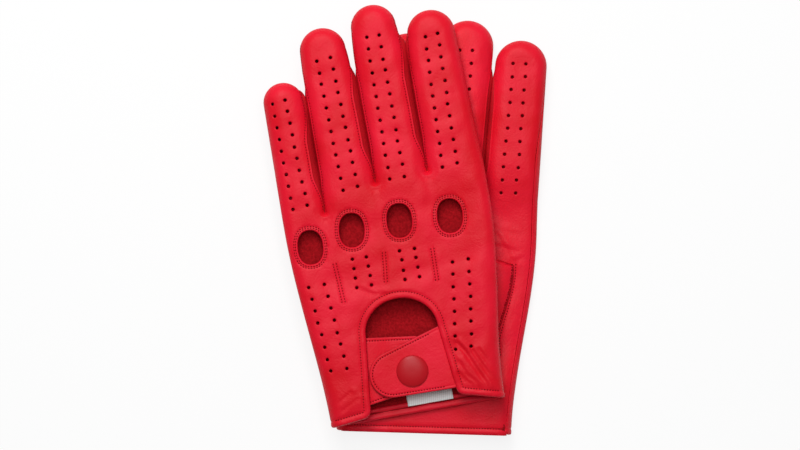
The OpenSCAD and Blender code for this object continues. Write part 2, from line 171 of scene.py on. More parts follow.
def unit(rows: Array) -> Array:
    """Vectors brought to a length of one."""
    return rows / np.maximum(np.sqrt((rows ** 2).sum(axis=1)), 1e-9)[:, None]


def inward(edge: Array) -> Array:
    """Inward unit vectors along a closed edge that turns left."""
    run = np.roll(edge, -1, axis=0) - np.roll(edge, 1, axis=0)
    return unit(np.column_stack([-run[:, 1], run[:, 0]]))


def runs_of(numbers: Array) -> list[Array]:
    """Runs of numbers that follow one another."""
    return np.split(numbers, np.nonzero(np.diff(numbers) > 1)[0] + 1)


def reach(points: Array, line: Array, closed: bool = False) -> Array:
    """Distance from points to a line of points.

    Args:
        points: Points, one per row.
        line: Points along the line.
        closed: Whether the line's ends are joined.

    Returns:
        One distance for each point.
    """
    a = line if closed else line[:-1]
    b = np.roll(line, -1, axis=0) if closed else line[1:]
    run = b - a
    size = np.maximum((run ** 2).sum(axis=1), 1e-12)
    found = np.empty(len(points))
    for first in range(0, len(points), BLOCK):
        away = points[first:first + BLOCK, None] - a
        t = np.clip((away * run).sum(axis=2) / size, 0.0, 1.0)
        gap = away - t[..., None] * run
        found[first:first + BLOCK] = np.sqrt((gap ** 2).sum(axis=2).min(axis=1))
    return found


def inside(points: Array, loop: Array) -> Array:
    """Tell which points lie inside a closed loop.

    Args:
        points: Points, one per row.
        loop: Corners of the loop.

    Returns:
        True for each point inside.
    """
    a, b = loop, np.roll(loop, -1, axis=0)
    rise = np.where(np.abs(b[:, 1] - a[:, 1]) < 1e-12, 1e-12, b[:, 1] - a[:, 1])
    found = np.empty(len(points), dtype=bool)
    for first in range(0, len(points), BLOCK):
        x, y = points[first:first + BLOCK, 0:1], points[first:first + BLOCK, 1:2]
        spans = (a[:, 1] > y) != (b[:, 1] > y)
        left_of = x < (b[:, 0] - a[:, 0]) * (y - a[:, 1]) / rise + a[:, 0]
        found[first:first + BLOCK] = (spans & left_of).sum(axis=1) % 2 == 1
    return found


def resample(line: Array, pitch: float, closed: bool = False) -> Array:
    """Points at an even pitch along a line, both ends kept.

    Args:
        line: Points along the line, in two or three dimensions.
        pitch: Wished spacing.
        closed: Whether the line's ends are joined.

    Returns:
        The evenly spaced points.
    """
    line = np.concatenate([line, line[:1]]) if closed else line
    steps = np.sqrt((np.diff(line, axis=0) ** 2).sum(axis=1))
    run = np.concatenate([[0.0], np.cumsum(steps)])
    count = max(2, int(round(run[-1] / pitch)) + 1)
    at = np.linspace(0.0, run[-1], count)
    even = np.column_stack([np.interp(at, run, line[:, k]) for k in range(line.shape[1])])
    return even[:-1] if closed else even


def ripples(points: Array, wave: float, seed: int) -> Array:
    """Soft uneven waves, the same on every run.

    Args:
        points: Points in the plane.
        wave: Usual length of a wave in millimetres.
        seed: Seed of the pattern.

    Returns:
        Heights of about one either way.
    """
    rng = np.random.default_rng(seed)
    waves = 8
    total = np.zeros(len(points))
    for _ in range(waves):
        angle, phase = rng.uniform(0, 2 * math.pi, 2)
        size = wave * rng.uniform(0.7, 1.6)
        along = points[:, 0] * math.cos(angle) + points[:, 1] * math.sin(angle)
        total += np.sin(2 * math.pi * along / size + phase)
    return total / math.sqrt(waves)


def waves(points: Array, parts: Sequence[tuple[float, float, int]]) -> Array:
    """Sum of ripples, each given by its height, wave length and seed."""
    return sum(height * ripples(points, wave, seed) for height, wave, seed in parts)


@dataclass(frozen=True)
class Placing:
    """Where a glove lies in the shared frame."""

    turn: float
    at: tuple[float, float, float]
    mirrored: bool

    def to_frame(self, points: Array) -> Array:
        """Take points of the glove to the shared frame.

        Args:
            points: Points in the glove's own frame, in millimetres.

        Returns:
            The points in metres.
        """
        c, s = math.cos(math.radians(self.turn)), math.sin(math.radians(self.turn))
        x, y, z = points[:, 0], points[:, 1], points[:, 2]
        z = -z if self.mirrored else z
        return (np.column_stack([c * x - s * y, s * x + c * y, z]) + np.array(self.at)) * MM

    def point(self, x: float, y: float, z: float) -> tuple[float, float, float]:
        """One point of the glove in the shared frame."""
        return tuple(float(v) for v in self.to_frame(np.array([[x, y, z]]))[0])


@dataclass(frozen=True)
class Finish:
    """A finish of two tones, whose material is made on first use."""

    name: str
    colour: str
    shade: str

    def material(self) -> bpy.types.Material:
        """Make the finish's material, or find it where it is made already.

        Returns:
            The material.
        """
        made = bpy.data.materials.get(self.name)
        if made is None:
            made = bpy.data.materials.new(self.name)
            made.use_nodes = True
            tree = made.node_tree
            shader = tree.nodes["Principled BSDF"]
            place = add_node(tree, "ShaderNodeTexCoord").outputs["Object"]
            for key, value in self.surface(tree, place).items():
                if isinstance(value, bpy.types.NodeSocket):
                    tree.links.new(value, shader.inputs[key])
                else:
                    shader.inputs[key].default_value = value
        return made

    def surface(self, tree: bpy.types.NodeTree, place: bpy.types.NodeSocket) -> dict:
        """Add the nodes of the finish's patterns.

        Args:
            tree: Node tree of the material.
            place: The object's own coordinates.

        Returns:
            Sockets and constants by the names of the shader's inputs.
        """
        raise NotImplementedError

    def tones(self, tree: bpy.types.NodeTree, share: bpy.types.NodeSocket) -> bpy.types.NodeSocket:
        """The two tones mixed by a pattern."""
        ends = {"data_type": "RGBA", 6: linear(self.shade), 7: linear(self.colour)}
        return add_node(tree, "ShaderNodeMix", ends, {0: share}).outputs[2]


@dataclass(frozen=True)
class Nappa(Finish):
    """Drum-dyed sheep nappa, plated smooth: close fine grain and a soft wide sheen."""

    name: str = "dyed_nappa_leather"
    colour: str = "#E91632"
    shade: str = "#D80A1E"
    roughness: float = 0.45
    specular: float = 0.17
    dye_mm: float = 24.0
    grain_mm: float = 0.9
    crease_mm: float = 5.0

    def surface(self, tree: bpy.types.NodeTree, place: bpy.types.NodeSocket) -> dict:
        """Add the leather's dye, grain and creases.

        Args:
            tree: Node tree of the material.
            place: The object's own coordinates.

        Returns:
            Sockets and constants by the names of the shader's inputs.
        """
        # Dye takes unevenly over some centimetres, which the eye reads as real skin
        cloud = add_node(tree, "ShaderNodeTexNoise", {"Scale": per_metre(self.dye_mm), "Detail": 3.0},
                         {"Vector": place})
        spread = add_node(tree, "ShaderNodeMapRange", {"From Min": 0.32, "From Max": 0.68},
                          {"Value": cloud.outputs["Fac"]})
        # Hair cells of nappa are about 0.3 mm; they are drawn coarser so that they show
        cells = add_node(tree, "ShaderNodeTexVoronoi",
                         {"Scale": per_metre(self.grain_mm), "Randomness": 1.0}, {"Vector": place})
        folds = add_node(tree, "ShaderNodeTexNoise",
                         {"Scale": per_metre(self.crease_mm), "Detail": 5.0, "Roughness": 0.55,
                          "Distortion": 0.7}, {"Vector": place})
        fine = add_node(tree, "ShaderNodeBump", {"Strength": 0.22, "Distance": 0.0003},
                        {"Height": cells.outputs["Distance"]})
        broad = add_node(tree, "ShaderNodeBump", {"Strength": 0.3, "Distance": 0.0008},
                         {"Height": folds.outputs["Fac"], "Normal": fine.outputs["Normal"]})
        polish = add_node(tree, "ShaderNodeMapRange",
                          {"To Min": self.roughness - 0.05, "To Max": self.roughness + 0.07},
                          {"Value": folds.outputs["Fac"]})
        return {"Base Color": self.tones(tree, spread.outputs["Result"]), "Normal": broad.outputs["Normal"],
                "Roughness": polish.outputs["Result"], "Specular IOR Level": self.specular, "IOR": 1.5}


@dataclass(frozen=True)
class FleshSide(Finish):
    """Flesh side of the skin, buffed to suede: dull, napped and darker than the grain side."""

    name: str = "suede_flesh_side"
    colour: str = "#AE141D"
    shade: str = "#890B12"
    nap_mm: float = 1.2

    def surface(self, tree: bpy.types.NodeTree, place: bpy.types.NodeSocket) -> dict:
        """Add the suede's nap.

        Args:
            tree: Node tree of the material.
            place: The object's own coordinates.

        Returns:
            Sockets and constants by the names of the shader's inputs.
        """
        # The nap lies in small brushed patches that catch the light differently
        nap = add_node(tree, "ShaderNodeTexNoise",
                       {"Scale": per_metre(self.nap_mm), "Detail": 4.0, "Roughness": 0.7}, {"Vector": place})
        brush = add_node(tree, "ShaderNodeMapRange", {"From Min": 0.36, "From Max": 0.64},
                         {"Value": nap.outputs["Fac"]})
        rise = add_node(tree, "ShaderNodeBump", {"Strength": 0.4, "Distance": 0.0004},
                        {"Height": nap.outputs["Fac"]})
        return {"Base Color": self.tones(tree, brush.outputs["Result"]), "Normal": rise.outputs["Normal"],
                "Roughness": 0.95, "Specular IOR Level": 0.05, "Sheen Weight": 0.04}


@dataclass(frozen=True)
class Plain(Finish):
    """A finish with a fine pattern in its two tones and a matching bump."""

    roughness: float
    pattern_mm: float
    relief: float = 0.0001
    metallic: float = 0.0
    specular: float = 0.5
    bands: bool = False

    def surface(self, tree: bpy.types.NodeTree, place: bpy.types.NodeSocket) -> dict:
        """Add the finish's fine pattern.

        Args:
            tree: Node tree of the material.
            place: The object's own coordinates.

        Returns:
            Sockets and constants by the names of the shader's inputs.
        """
        kind = "ShaderNodeTexWave" if self.bands else "ShaderNodeTexNoise"
        # A wave texture repeats every pi / 10 units; this makes each of its bands one pattern size wide
        size = self.pattern_mm * (20 / math.pi if self.bands else 1.0)
        texture = add_node(tree, kind, {"Scale": per_metre(size), "Detail": 2.0}, {"Vector": place})
        pattern = texture.outputs["Fac"]
        rise = add_node(tree, "ShaderNodeBump", {"Strength": 0.4, "Distance": self.relief},
                        {"Height": pattern})
        polish = add_node(tree, "ShaderNodeMapRange",
                          {"To Min": max(0.05, self.roughness - 0.05), "To Max": self.roughness + 0.05},
                          {"Value": pattern})
        return {"Base Color": self.tones(tree, pattern), "Normal": rise.outputs["Normal"],
                "Roughness": polish.outputs["Result"], "Metallic": self.metallic,
                "Specular IOR Level": self.specular}


@dataclass(frozen=True)
class Finishes:
    """Every finish that the gloves wear."""

    leather: Nappa = Nappa()
    # The strips' nappa is the faces' leather, its colours darkened as painted shade of the narrow gaps
    # between the fingers
    side_leather_painted_shade: Nappa = Nappa(name="fourchette_nappa", colour="#BE111E", shade="#AA0C18", roughness=0.5)
    suede: FleshSide = FleshSide()
    # Cut edge of the skin, a little paler and duller than its face
    cut_edge: Plain = Plain("raw_cut_leather_edge", "#D92B39", "#C41D2A", 0.7, 0.6, specular=0.15)
    # Bonded polyester thread, twisted, with a slight lustre; its dark red is partly the thread's own and
    # partly painted shade of the stitch holes
    thread: Plain = Plain("polyester_thread", "#930712", "#74040C", 0.75, 0.25, specular=0.08)
    # Brass cap under satin stove paint: even colour, soft wide highlight
    paint: Plain = Plain("satin_stove_paint", "#BC0E1D", "#B20B18", 0.36, 0.7, 0.00002, specular=0.22)
    # Nickel-plated brass, barrel polished
    metal: Plain = Plain("nickel_plated_brass", "#CFCBC4", "#BDB8B0", 0.28, 0.5, 0.00001, metallic=1.0)
    # Woven satin ribbon of 0.25 mm threads, drawn at 0.5 mm so that they show
    ribbon: Plain = Plain("woven_satin_ribbon", "#FFFFFF", "#ECECEA", 0.6, 0.5, 0.00008, bands=True)


@dataclass
class Piece:
    """One piece while it is made, in a glove's frame and in millimetres."""

    name: str
    work: bmesh.types.BMesh = field(default_factory=bmesh.new)

    def lay(self, points: Array, faces: Sequence[Sequence[int]] = ()) -> list[bmesh.types.BMVert]:
        """Lay down a cut sheet, or only a line of points.

        Args:
            points: Points of the sheet.
            faces: Faces by the points' numbers.

        Returns:
            The vertices, in the points' order.
        """
        verts = [self.work.verts.new(one) for one in points.tolist()]
        for one in faces:
            self.work.faces.new([verts[k] for k in one])
        return verts

    def draw_out(self, line: list[bmesh.types.BMVert], rows: Sequence[Array], closed: bool = False,
                 mark: int = GRAIN) -> list[bmesh.types.BMVert]:
        """Extrude a line of vertices through rows of points.

        Args:
            line: Vertices along the line.
            rows: Rows of points, each as long as the line.
            closed: Whether the line's ends are joined.
            mark: Material number of the new faces.

        Returns:
            The vertices of the last row.
        """
        for row in rows:
            ahead = line[1:] + line[:1] if closed else line[1:]
            edges = [self.work.edges.get(pair) or self.work.edges.new(pair) for pair in zip(line, ahead)]
            grown = bmesh.ops.extrude_edge_only(self.work, edges=edges)["geom"]
            fresh = {one for one in grown if isinstance(one, bmesh.types.BMVert)}
            line = [next(e.other_vert(v) for e in v.link_edges if e.other_vert(v) in fresh) for v in line]
            for vert, place in zip(line, row.tolist()):
                vert.co = place
            for one in grown:
                if isinstance(one, bmesh.types.BMFace):
                    one.material_index = mark
        return line

    def finish(self, placing: Placing, materials: Sequence[bpy.types.Material]) -> bpy.types.Object:
        """Make the mesh object in the shared frame.

        Args:
            placing: Where the glove lies.
            materials: Materials by mark.

        Returns:
            The new object.
        """
        mesh = bpy.data.meshes.new(self.name)
        for material in materials:
            mesh.materials.append(material)
        for one in self.work.faces:
            one.smooth = True
        if placing.mirrored:
            bmesh.ops.reverse_faces(self.work, faces=self.work.faces[:])
        self.work.to_mesh(mesh)
        self.work.free()
        spots = np.empty(3 * len(mesh.vertices), dtype=np.float32)
        mesh.vertices.foreach_get("co", spots)
        mesh.vertices.foreach_set("co", placing.to_frame(spots.reshape(-1, 3).astype(float)).ravel())
        mesh.update()
        return add_object(self.name, mesh)


def give_wall(piece: bpy.types.Object, thickness: float, inner: int = FLESH, rim: int = GRAIN) -> None:
    """Give a skin its thickness, inwards from its outer face.

    Args:
        piece: The skin.
        thickness: Thickness in millimetres.
        inner: Step to the inner face's material.
        rim: Step to the rim's material.
    """
    wall = piece.modifiers.new("leather", "SOLIDIFY")
    wall.thickness = thickness * MM
    wall.offset = -1.0
    wall.use_even_offset = False
    wall.material_offset = inner
    wall.material_offset_rim = rim


def cut_sheet(loops: Sequence[Array], fill: Array,
              keep: Callable[[Array], Array]) -> tuple[Array, Array, list]:
    """Cut a flat sheet with real holes, which no mesh operator gives.

    Args:
        loops: Closed edges of the sheet and of its holes.
        fill: Points inside the sheet.
        keep: Tells which face centres lie on the sheet.

    Returns:
        The points, the faces, and for each given loop point its number.
    """
    edges, first = [], 0
    for loop in loops:
        edges += [(first + k, first + (k + 1) % len(loop)) for k in range(len(loop))]
        first += len(loop)
    points = np.concatenate([*loops, fill])
    made = delaunay_2d_cdt([Vector(p) for p in points.tolist()], edges, [], 0, 1e-5)
    found = np.array([[v.x, v.y] for v in made[0]])
    faces = np.array([list(one) for one in made[2]])
    number = {source: k for k, sources in enumerate(made[3]) for source in sources}
    a, b, c = (found[faces[:, k]] for k in range(3))
    area = (b[:, 0] - a[:, 0]) * (c[:, 1] - a[:, 1]) - (b[:, 1] - a[:, 1]) * (c[:, 0] - a[:, 0])
    longest = np.max([((q - p) ** 2).sum(axis=1) for p, q in ((a, b), (b, c), (c, a))], axis=0)
    # Slivers between points of one straight edge aren't part of the sheet
    good = keep(found[faces].mean(axis=1)) & (np.abs(area) > 5e-5 * longest)
    faces[area < 0] = faces[area < 0][:, ::-1]
    return found, faces[good], [number[k] for k in range(first)]


def grid(edge: Array, pitch: float, top: Optional[float] = None) -> Array:
    """Points on an even three-way grid over a loop's box.

    Args:
        edge: The loop.
        pitch: Spacing.
        top: Height to stop at, where it isn't the box's.

    Returns:
        The points.
    """
    low, high = edge.min(axis=0), edge.max(axis=0)
    rows = []
    for k, y in enumerate(np.arange(low[1], high[1] if top is None else top, pitch * 0.866)):
        x = np.arange(low[0] + (k % 2) * pitch / 2, high[0], pitch)
        rows.append(np.column_stack([x, np.full(len(x), y)]))
    return np.concatenate(rows)


@dataclass(frozen=True)
class Welt:
    """A rolled or stitched edge: heights at steps from it, in millimetres."""

    steps: tuple
    heights: tuple

    def height(self, gap: Array) -> Array:
        """Height at a distance from the edge."""
        return np.interp(gap, self.steps, self.heights)


HEM = Welt((0, 0.2, 0.5, 1.0, 1.7, 2.5, 3.0, 3.4, 3.9, 4.8, 6.5),
           (-1.2, -0.6, -0.2, 0.06, 0.14, 0.06, -0.22, -0.5, -0.16, 0.06, 0))
HEM_ROWS = (0.25, 0.55, 1.0, 1.7, 2.5, 3.0, 3.4, 3.9, 4.8)
HEM_STITCH = 3.4
KNUCKLE = Welt((0, 0.2, 0.5, 0.85, 1.2, 1.6, 2.05, 2.5, 3.2),
               (-1.0, -0.42, 0.0, 0.1, -0.32, 0.06, -0.42, -0.05, 0))
KNUCKLE_STITCHES = (1.2, 2.05)
TUCK = Welt((0, 0.45, 0.8, 1.2, 2.0), (0.16, 0.0, -0.42, -0.1, 0))
TUCK_STITCH = 0.8
PALM_GROOVE = Welt((0, 0.5, 1.0, 1.5, 2.4), (0.1, 0.0, -0.42, -0.1, 0))
THUMB_GROOVE = Welt((0, 0.5, 1.0, 1.5, 2.4), (-0.1, 0.0, 0.36, 0.1, 0))
RAW_EDGE = Welt((0, 0.3, 0.7, 1.1, 1.5, 1.9, 2.5), (-0.4, -0.06, 0, -0.06, -0.22, -0.04, 0))
EDGE_STITCH = 1.5
# Rows of a skin's seam: how far a lip stands up in the forks, and how far the palm goes in on the sides
LIP = (0.0, 0.26, 0.34, 0.05)
DIP = (0.1, 0.93, 0.96, 0.96)

# Height, length and seed of the skins' soft waves, and how far they lie below their full puff
BACK_WAVES = ((0.36, 34, 3), (0.18, 13, 5))
PALM_WAVES = ((0.32, 30, 11), (0.13, 12, 12))
SETTLE = 0.45

# Sewn tucks, pressed folds and the thumb's seam, seen in the photograph; a fold ends with its depth
TUCKS = (((-28.1, 80.7), (-27.0, 61.4)), ((-2.9, 82.0), (-4.5, 67.7)), ((21.2, 79.7), (20.8, 64.2)))
WRIST_FOLDS = (((24.7, 31.6), (28.1, 26.7), (31.4, 19.1), (36.3, 7.4), 1.0),
               ((24.2, 22.0), (26.9, 15.3), (33.3, 7.9), 0.8),
               ((31.9, 26.1), (35.8, 17.6), (40.4, 8.2), 0.85),
               ((35.0, 26.3), (39.0, 17.8), (41.9, 12.6), 0.6),
               ((23.2, 16.7), (26.9, 11.4), (32.4, 6.9), 0.6),
               ((-43.6, 8.4), (-37.3, 12.7), (-31.3, 16.3), 0.6),
               ((-40.9, 5.6), (-34.0, 9.8), (-28.0, 12.6), 0.5),
               ((-17.5, 66.0), (-12.0, 62.5), (-6.0, 62.0), 0.5))
PALM_FOLDS = (((32.2, 95.7), (38.0, 94.8), (43.8, 92.6), 0.4),
              ((33.5, 101.8), (38.5, 94.0), (42.4, 87.0), 0.6),
              ((40.5, 87.4), (43.5, 88.4), (46.4, 89.6), 0.5),
              ((30.0, 106.0), (36.0, 103.0), (44.0, 101.5), 0.3),
              ((-1.5, 56.0), (0.5, 49.0), (2.6, 39.5), 0.7))
THUMB_SEAM = np.array([(42.8, 86.1), (42.7, 79.6), (41.8, 73.5), (40.1, 66.0), (37.8, 57.4), (35.6, 48.3),
                       (36.3, 40.5)])
# The thumb itself is sewn on along all but the seam's last stretch
THUMB_ROOT = THUMB_SEAM[:6]


@dataclass(frozen=True)
class HandPattern:
    """The cutting pattern of a glove, in millimetres and degrees, from the little finger on."""

    tip_w: tuple
    tip_lean: tuple
    tip_y: tuple
    meet_y: tuple
    bow: tuple
    depth: float = 13.5
    skin: float = 0.9
    cuff_w: float = 88.0
    knuckle_shift: float = 2.0
    side_run: float = 100.0
    base_w: tuple = (21.5, 27.5, 26.5, 28.5)
    web_y: tuple = (107.0, 117.5, 118.5)
    web_gap: float = 1.2
    bulge: float = 9.0
    rim: float = 3.0
    recess: float = 4.5
    hole_d: float = 1.7
    hole_y: tuple = (174.5, 198.0, 205.0, 197.5)
    back_pitch: float = 5.95
    palm_pitch: float = 6.5
    base_gauge: float = 7.4
    knuckle_size: tuple = (12.3, 16.8)
    knuckle_at: tuple = ((-38.55, 91.0), (-16.75, 95.8), (7.45, 96.4), (32.65, 94.3))
    knuckle_tilt: tuple = (-5.0, -7.0, -5.0, -6.0)
    oval_fullness: float = 0.86
    cuff_slope: tuple = (6.5, 15.0)
    corner_r: float = 4.5
    notch_x: float = -1.0
    notch_half: tuple = (22.75, 18.0)
    notch_top: float = 42.0
    arch_rise: float = 16.3
    back_turn: float = 32.0
    roll: float = 10.0
    palm_turn: float = -33.0
    side_turn: float = -43.0
    tip_turn: float = 2.0
    fork_run: float = 19.0
    seam_run: float = 6.4
    tuck_in: float = 5.0

    @property
    def edges(self) -> Array:
        """Where the fingers' bases begin and end across the knuckles."""
        return self.knuckle_shift - sum(self.base_w) / 2 + np.concatenate([[0.0], np.cumsum(self.base_w)])

    def finger_x(self, i: int) -> float:
        """Middle of a finger's base."""
        return float(self.edges[i] + self.base_w[i] / 2)

    def tip_x(self, i: int) -> float:
        """Middle of a finger's tip."""
        return self.finger_x(i) + self.tip_lean[i]

    def side_x(self, side: int, y: Array) -> Array:
        """Side of the hand at a height above the cuff."""
        widen = self.knuckle_shift + side * (sum(self.base_w) - self.cuff_w) / 2
        return side * self.cuff_w / 2 + widen * smooth(np.asarray(y) / self.side_run)

    def outline(self, inset: float, face: Face = Face.BACK) -> tuple[Array, Array]:
        """The hand's edge from the little finger's cuff round to the index finger's cuff.

        Args:
            inset: Distance inside the edge.
            face: The back, whose cuff rises towards the opening, or the palm.

        Returns:
            The points, as many for every inset, and for each one how far it lies in a fork.
        """
        rows: list[Array] = []
        weights: list[Array] = []

        def add(points: Array, weight: Array) -> None:
            """Add points with their weights."""
            rows.append(points)
            weights.append(weight)

        def side(end: Array, weight: Array, bow: float = 0.0) -> None:
            """Add a finger's side from the last point on, bowed out most below the tip.

            Args:
                end: Where the side ends.
                weight: Weights of its points.
                bow: How far it is bowed, to the index side where positive.
            """
            t = np.linspace(0, 1, len(weight) + 2)[1:-1]
            line = rows[-1][-1] + (end - rows[-1][-1]) * t[:, None]
            line[:, 0] += bow * np.sin(math.pi * (t if bow > 0 else 1 - t) ** 0.75)
            add(line, weight)

        rise = np.tan(np.radians(self.cuff_slope)) * (inset if face is Face.BACK else 0.0)
        y = np.concatenate([HEM.steps[:-1], np.linspace(HEM.steps[-1], self.web_y[0], 50)])
        y += rise[0] * (1 - y / self.web_y[0])
        add(np.column_stack([self.side_x(-1, y) + inset, y]), np.zeros(len(y)))
        # Strips begin on the tips' shoulders and come up to full width some way below
        shoulder = np.linspace(0.0, 0.2, SHOULDER_POINTS)
        fade = 0.2 + 0.8 * smooth(np.linspace(0.0, 2.6, SIDE_POINTS))
        for i in range(4):
            middle = np.array([self.tip_x(i), self.tip_y[i] - self.tip_w[i] / 2])
            tip = middle + (self.tip_w[i] / 2 - inset) * arc(180, 0, TIP_POINTS)
            weight = np.zeros(TIP_POINTS)
            if i == 0:
                side(tip[0], np.zeros(SIDE_POINTS))
            else:
                side(tip[0], fade[::-1], -self.bow[i - 1])
                weight[:SHOULDER_POINTS] = shoulder[::-1]
            add(tip, weight)
            if i < 3:
                weight[-SHOULDER_POINTS:] = shoulder
                bend = (self.web_gap / 2 + inset) * arc(180, 360, FORK_POINTS)
                fork = np.array([self.edges[i + 1], self.web_y[i]]) + bend
                side(fork[0], fade, self.bow[i])
                add(fork, np.full(FORK_POINTS, IN_FORK))
        y = np.concatenate([HEM.steps[:-1], np.linspace(HEM.steps[-1], self.web_y[2], 56)])[::-1]
        y = y + rise[1] * (1 - y / self.web_y[2])
        end = np.column_stack([self.side_x(1, y) - inset, y])
        side(end[0], np.zeros(SIDE_POINTS))
        add(end, np.zeros(len(y)))
        return np.concatenate(rows), np.concatenate(weights)

    def seam_turns(self, face: Face) -> Array:
        """Turn of a face's skin at its seam, in degrees.

        Args:
            face: The back or the palm.

        Returns:
            One turn for each point of the outline.
        """
        outer, weight = self.outline(0.0)
        tips = np.array([self.tip_x(i) for i in range(4)])
        finger = np.abs(outer[:, 0:1] - tips).argmin(axis=1)
        # The fingers lie rolled a little, so that the back shows more of the strips on their index side
        rolled = self.back_turn - self.roll * np.sign(np.gradient(outer[:, 1]))
        turn, deep = (rolled, -4.0) if face is Face.BACK else (self.palm_turn, -10.0)
        # Along the hand's sides the seam lies on the palm and climbs to the very edge at the fingertips
        tip = smooth((outer[:, 1] - np.array(self.tip_y)[finger] + 66) / 58)
        sides = self.side_turn * (1 - tip) + self.tip_turn * tip
        turns = sides + (turn - sides) * np.minimum(weight, 1.0)
        # The seam dives into the fork, so that the slit ends in a point
        forks = outer[weight > 1.0]
        near = np.sqrt(((outer[:, None] - forks[None]) ** 2).sum(axis=2)).min(axis=1)
        return turns + (deep - turns) * (1 - smooth((near - 0.5) / self.fork_run)) * (weight > 0.5)

    def palm_level(self, y: Array) -> Array:
        """Height of the palm's outer face, which is drawn in from the wrist to the fingers' roots."""
        return self.recess * (smooth((y - 24) / 23) - smooth((y - 108) / 30))

    def notch(self, grow: float) -> Array:
        """The back's free edge from the index side of the cuff round the opening to the other side.

        Args:
            grow: Distance inside the leather.

        Returns:
            The points along the edge.
        """
        low, high = self.notch_half
        lean = (low - high) / self.notch_top
        tilt = math.atan(lean)
        r = self.corner_r
        halves = []
        for side in (1, -1):
            slope = math.radians(self.cuff_slope[1 if side > 0 else 0])
            foot_x = low + side * self.notch_x
            run = self.cuff_w / 2 - foot_x - r / math.cos(tilt)
            y = (run * math.tan(slope) + r / math.cos(slope)) / (1 - lean * math.tan(slope))
            centre = np.array([foot_x - lean * y + r / math.cos(tilt), y])
            bend = centre + max(r - grow, 0.05) * arc(270 - math.degrees(slope), 180 + math.degrees(tilt), 11)
            out = np.array([math.cos(slope), -math.sin(slope)])
            far = bend[0] + out * ((self.cuff_w / 2 - self.rim - bend[0][0]) / out[0])
            foot = far + (bend[0] - far) * np.linspace(0, 1, 15)[:-1, None]
            up = np.linspace(bend[-1][1], self.notch_top, 26)[1:]
            wall = np.column_stack([foot_x - lean * up + grow / math.cos(tilt), up])
            halves.append(np.concatenate([foot, bend, wall]) * np.array([side, 1]))
        size = np.array([high + grow, self.arch_rise + grow])
        arch = np.array([self.notch_x, self.notch_top]) + size * arc(0, 180, 41)[1:-1]
        return np.concatenate([halves[0], arch, halves[1][::-1]])

    def knuckle(self, i: int, grow: float, count: int = 44) -> Array:
        """Edge of a knuckle hole.

        Args:
            i: Number of the finger.
            grow: Distance outside the edge.
            count: Number of points.

        Returns:
            The points round the hole.
        """
        ring = arc(0, 360, count + 1)[:-1]
        half = np.array(self.knuckle_size) / 2 + grow
        x, y = (np.sign(ring) * np.abs(ring) ** self.oval_fullness * half).T
        c, s = math.cos(math.radians(self.knuckle_tilt[i])), math.sin(math.radians(self.knuckle_tilt[i]))
        return np.column_stack([c * x - s * y, s * x + c * y]) + np.array(self.knuckle_at[i])

    def punches(self, face: Face) -> Array:
        """Middles of the perforations on one face.

        Args:
            face: The back or the palm.

        Returns:
            The points.
        """
        if face is Face.BACK:
            pitch, tip_gap = self.back_pitch, (9.5, 16.0, 16.0, 12.9)
            tip_drift, base_drift = (-2.1, -0.8, -1.7, -0.4), (-0.8, 1.0, -2.2, -2.8)
            gauge, skew = (6.6, 7.2, 6.4, 6.4), (0.5, 0.3, 0.0, 0.35)
        else:
            pitch, tip_gap = self.palm_pitch, (12.6, 12.2, 12.0, 10.5)
            tip_drift, base_drift = tuple(lean - 0.8 for lean in self.tip_lean), (-0.8,) * 4
            gauge, skew = (6.3,) * 4, (0.0,) * 4
        found: list[list[float]] = []

        def rows(first: Sequence[float], last: Sequence[float], gauges: tuple[float, float], count: int,
                 tilt: float = 0.0) -> None:
            """Add a double row of holes.

            Args:
                first: Middle of the first pair.
                last: Middle of the last pair.
                gauges: Width of the first pair and of the last one.
                count: Number of pairs.
                tilt: How far a pair's holes lie above and below their middle.
            """
            for t in np.linspace(0, 1, count):
                for side in (-1, 1):
                    wide = gauges[0] + (gauges[1] - gauges[0]) * t
                    found.append([first[0] + (last[0] - first[0]) * t + side * wide / 2,
                                  first[1] + (last[1] - first[1]) * t + side * tilt])
        for i in range(4):
            top = self.hole_y[i] - tip_gap[i]
            low = (self.web_y[0] if i == 0 else max(self.web_y[i - 1], self.web_y[min(i, 2)])) - 1.0
            count = int((top - low) / pitch) + 1
            base = (self.finger_x(i) + base_drift[i], top - pitch * (count - 1))
            rows((self.finger_x(i) + tip_drift[i], top), base, (gauge[i], self.base_gauge), count, skew[i])
        if face is Face.BACK:
            top, low = 71.5, 71.5 - self.back_pitch * 1.03 * 7
            for side, inset in ((-1, 10.0), (1, 18.0)):
                rows((self.side_x(side, top) - side * inset, top),
                     (self.side_x(side, low) - side * inset, low), (8.2, 8.2), 8)
            for i in (1, 2):
                x = self.knuckle_at[i][0] + 1.3
                rows((x, 81.5), (x, 81.5 - 4.8 * 3), (self.base_gauge, self.base_gauge), 4)
        # Punching by hand leaves each hole a little off its row
        return np.array(found) + np.random.default_rng(7).normal(0.0, 0.13, (len(found), 2))


@dataclass
class Sewing:
    """Rows of stitches that become one piece of thread."""

    pitch: float = 1.4
    rows: list = field(default_factory=list)

    def row(self, line: Array, length: float = 0.95, radius: float = 0.36) -> None:
        """Add a row of stitches along a line of points on the leather."""
        at = resample(line, self.pitch)
        self.rows.append((at, unit(np.gradient(at, axis=0)), length, radius))

    def lay_in(self, piece: Piece) -> None:
        """Lay every stitch into a piece, each as a small rounded spindle.

        Args:
            piece: The piece of thread.
        """
        work = bmesh.new()
        bmesh.ops.create_uvsphere(work, u_segments=6, v_segments=4, radius=1.0)
        spindle = np.array([v.co[:] for v in work.verts])[:, [2, 0, 1]]
        faces = [[v.index for v in f.verts] for f in work.faces]
        work.free()
        for at, along, length, radius in self.rows:
            side = unit(np.cross([0.0, 0.0, 1.0], along))
            up = np.cross(along, side)
            shape = spindle * np.array([length / 2, radius, radius])
            for k in range(len(at)):
                piece.lay(at[k] + shape @ np.array([along[k], side[k], up[k]]), faces)


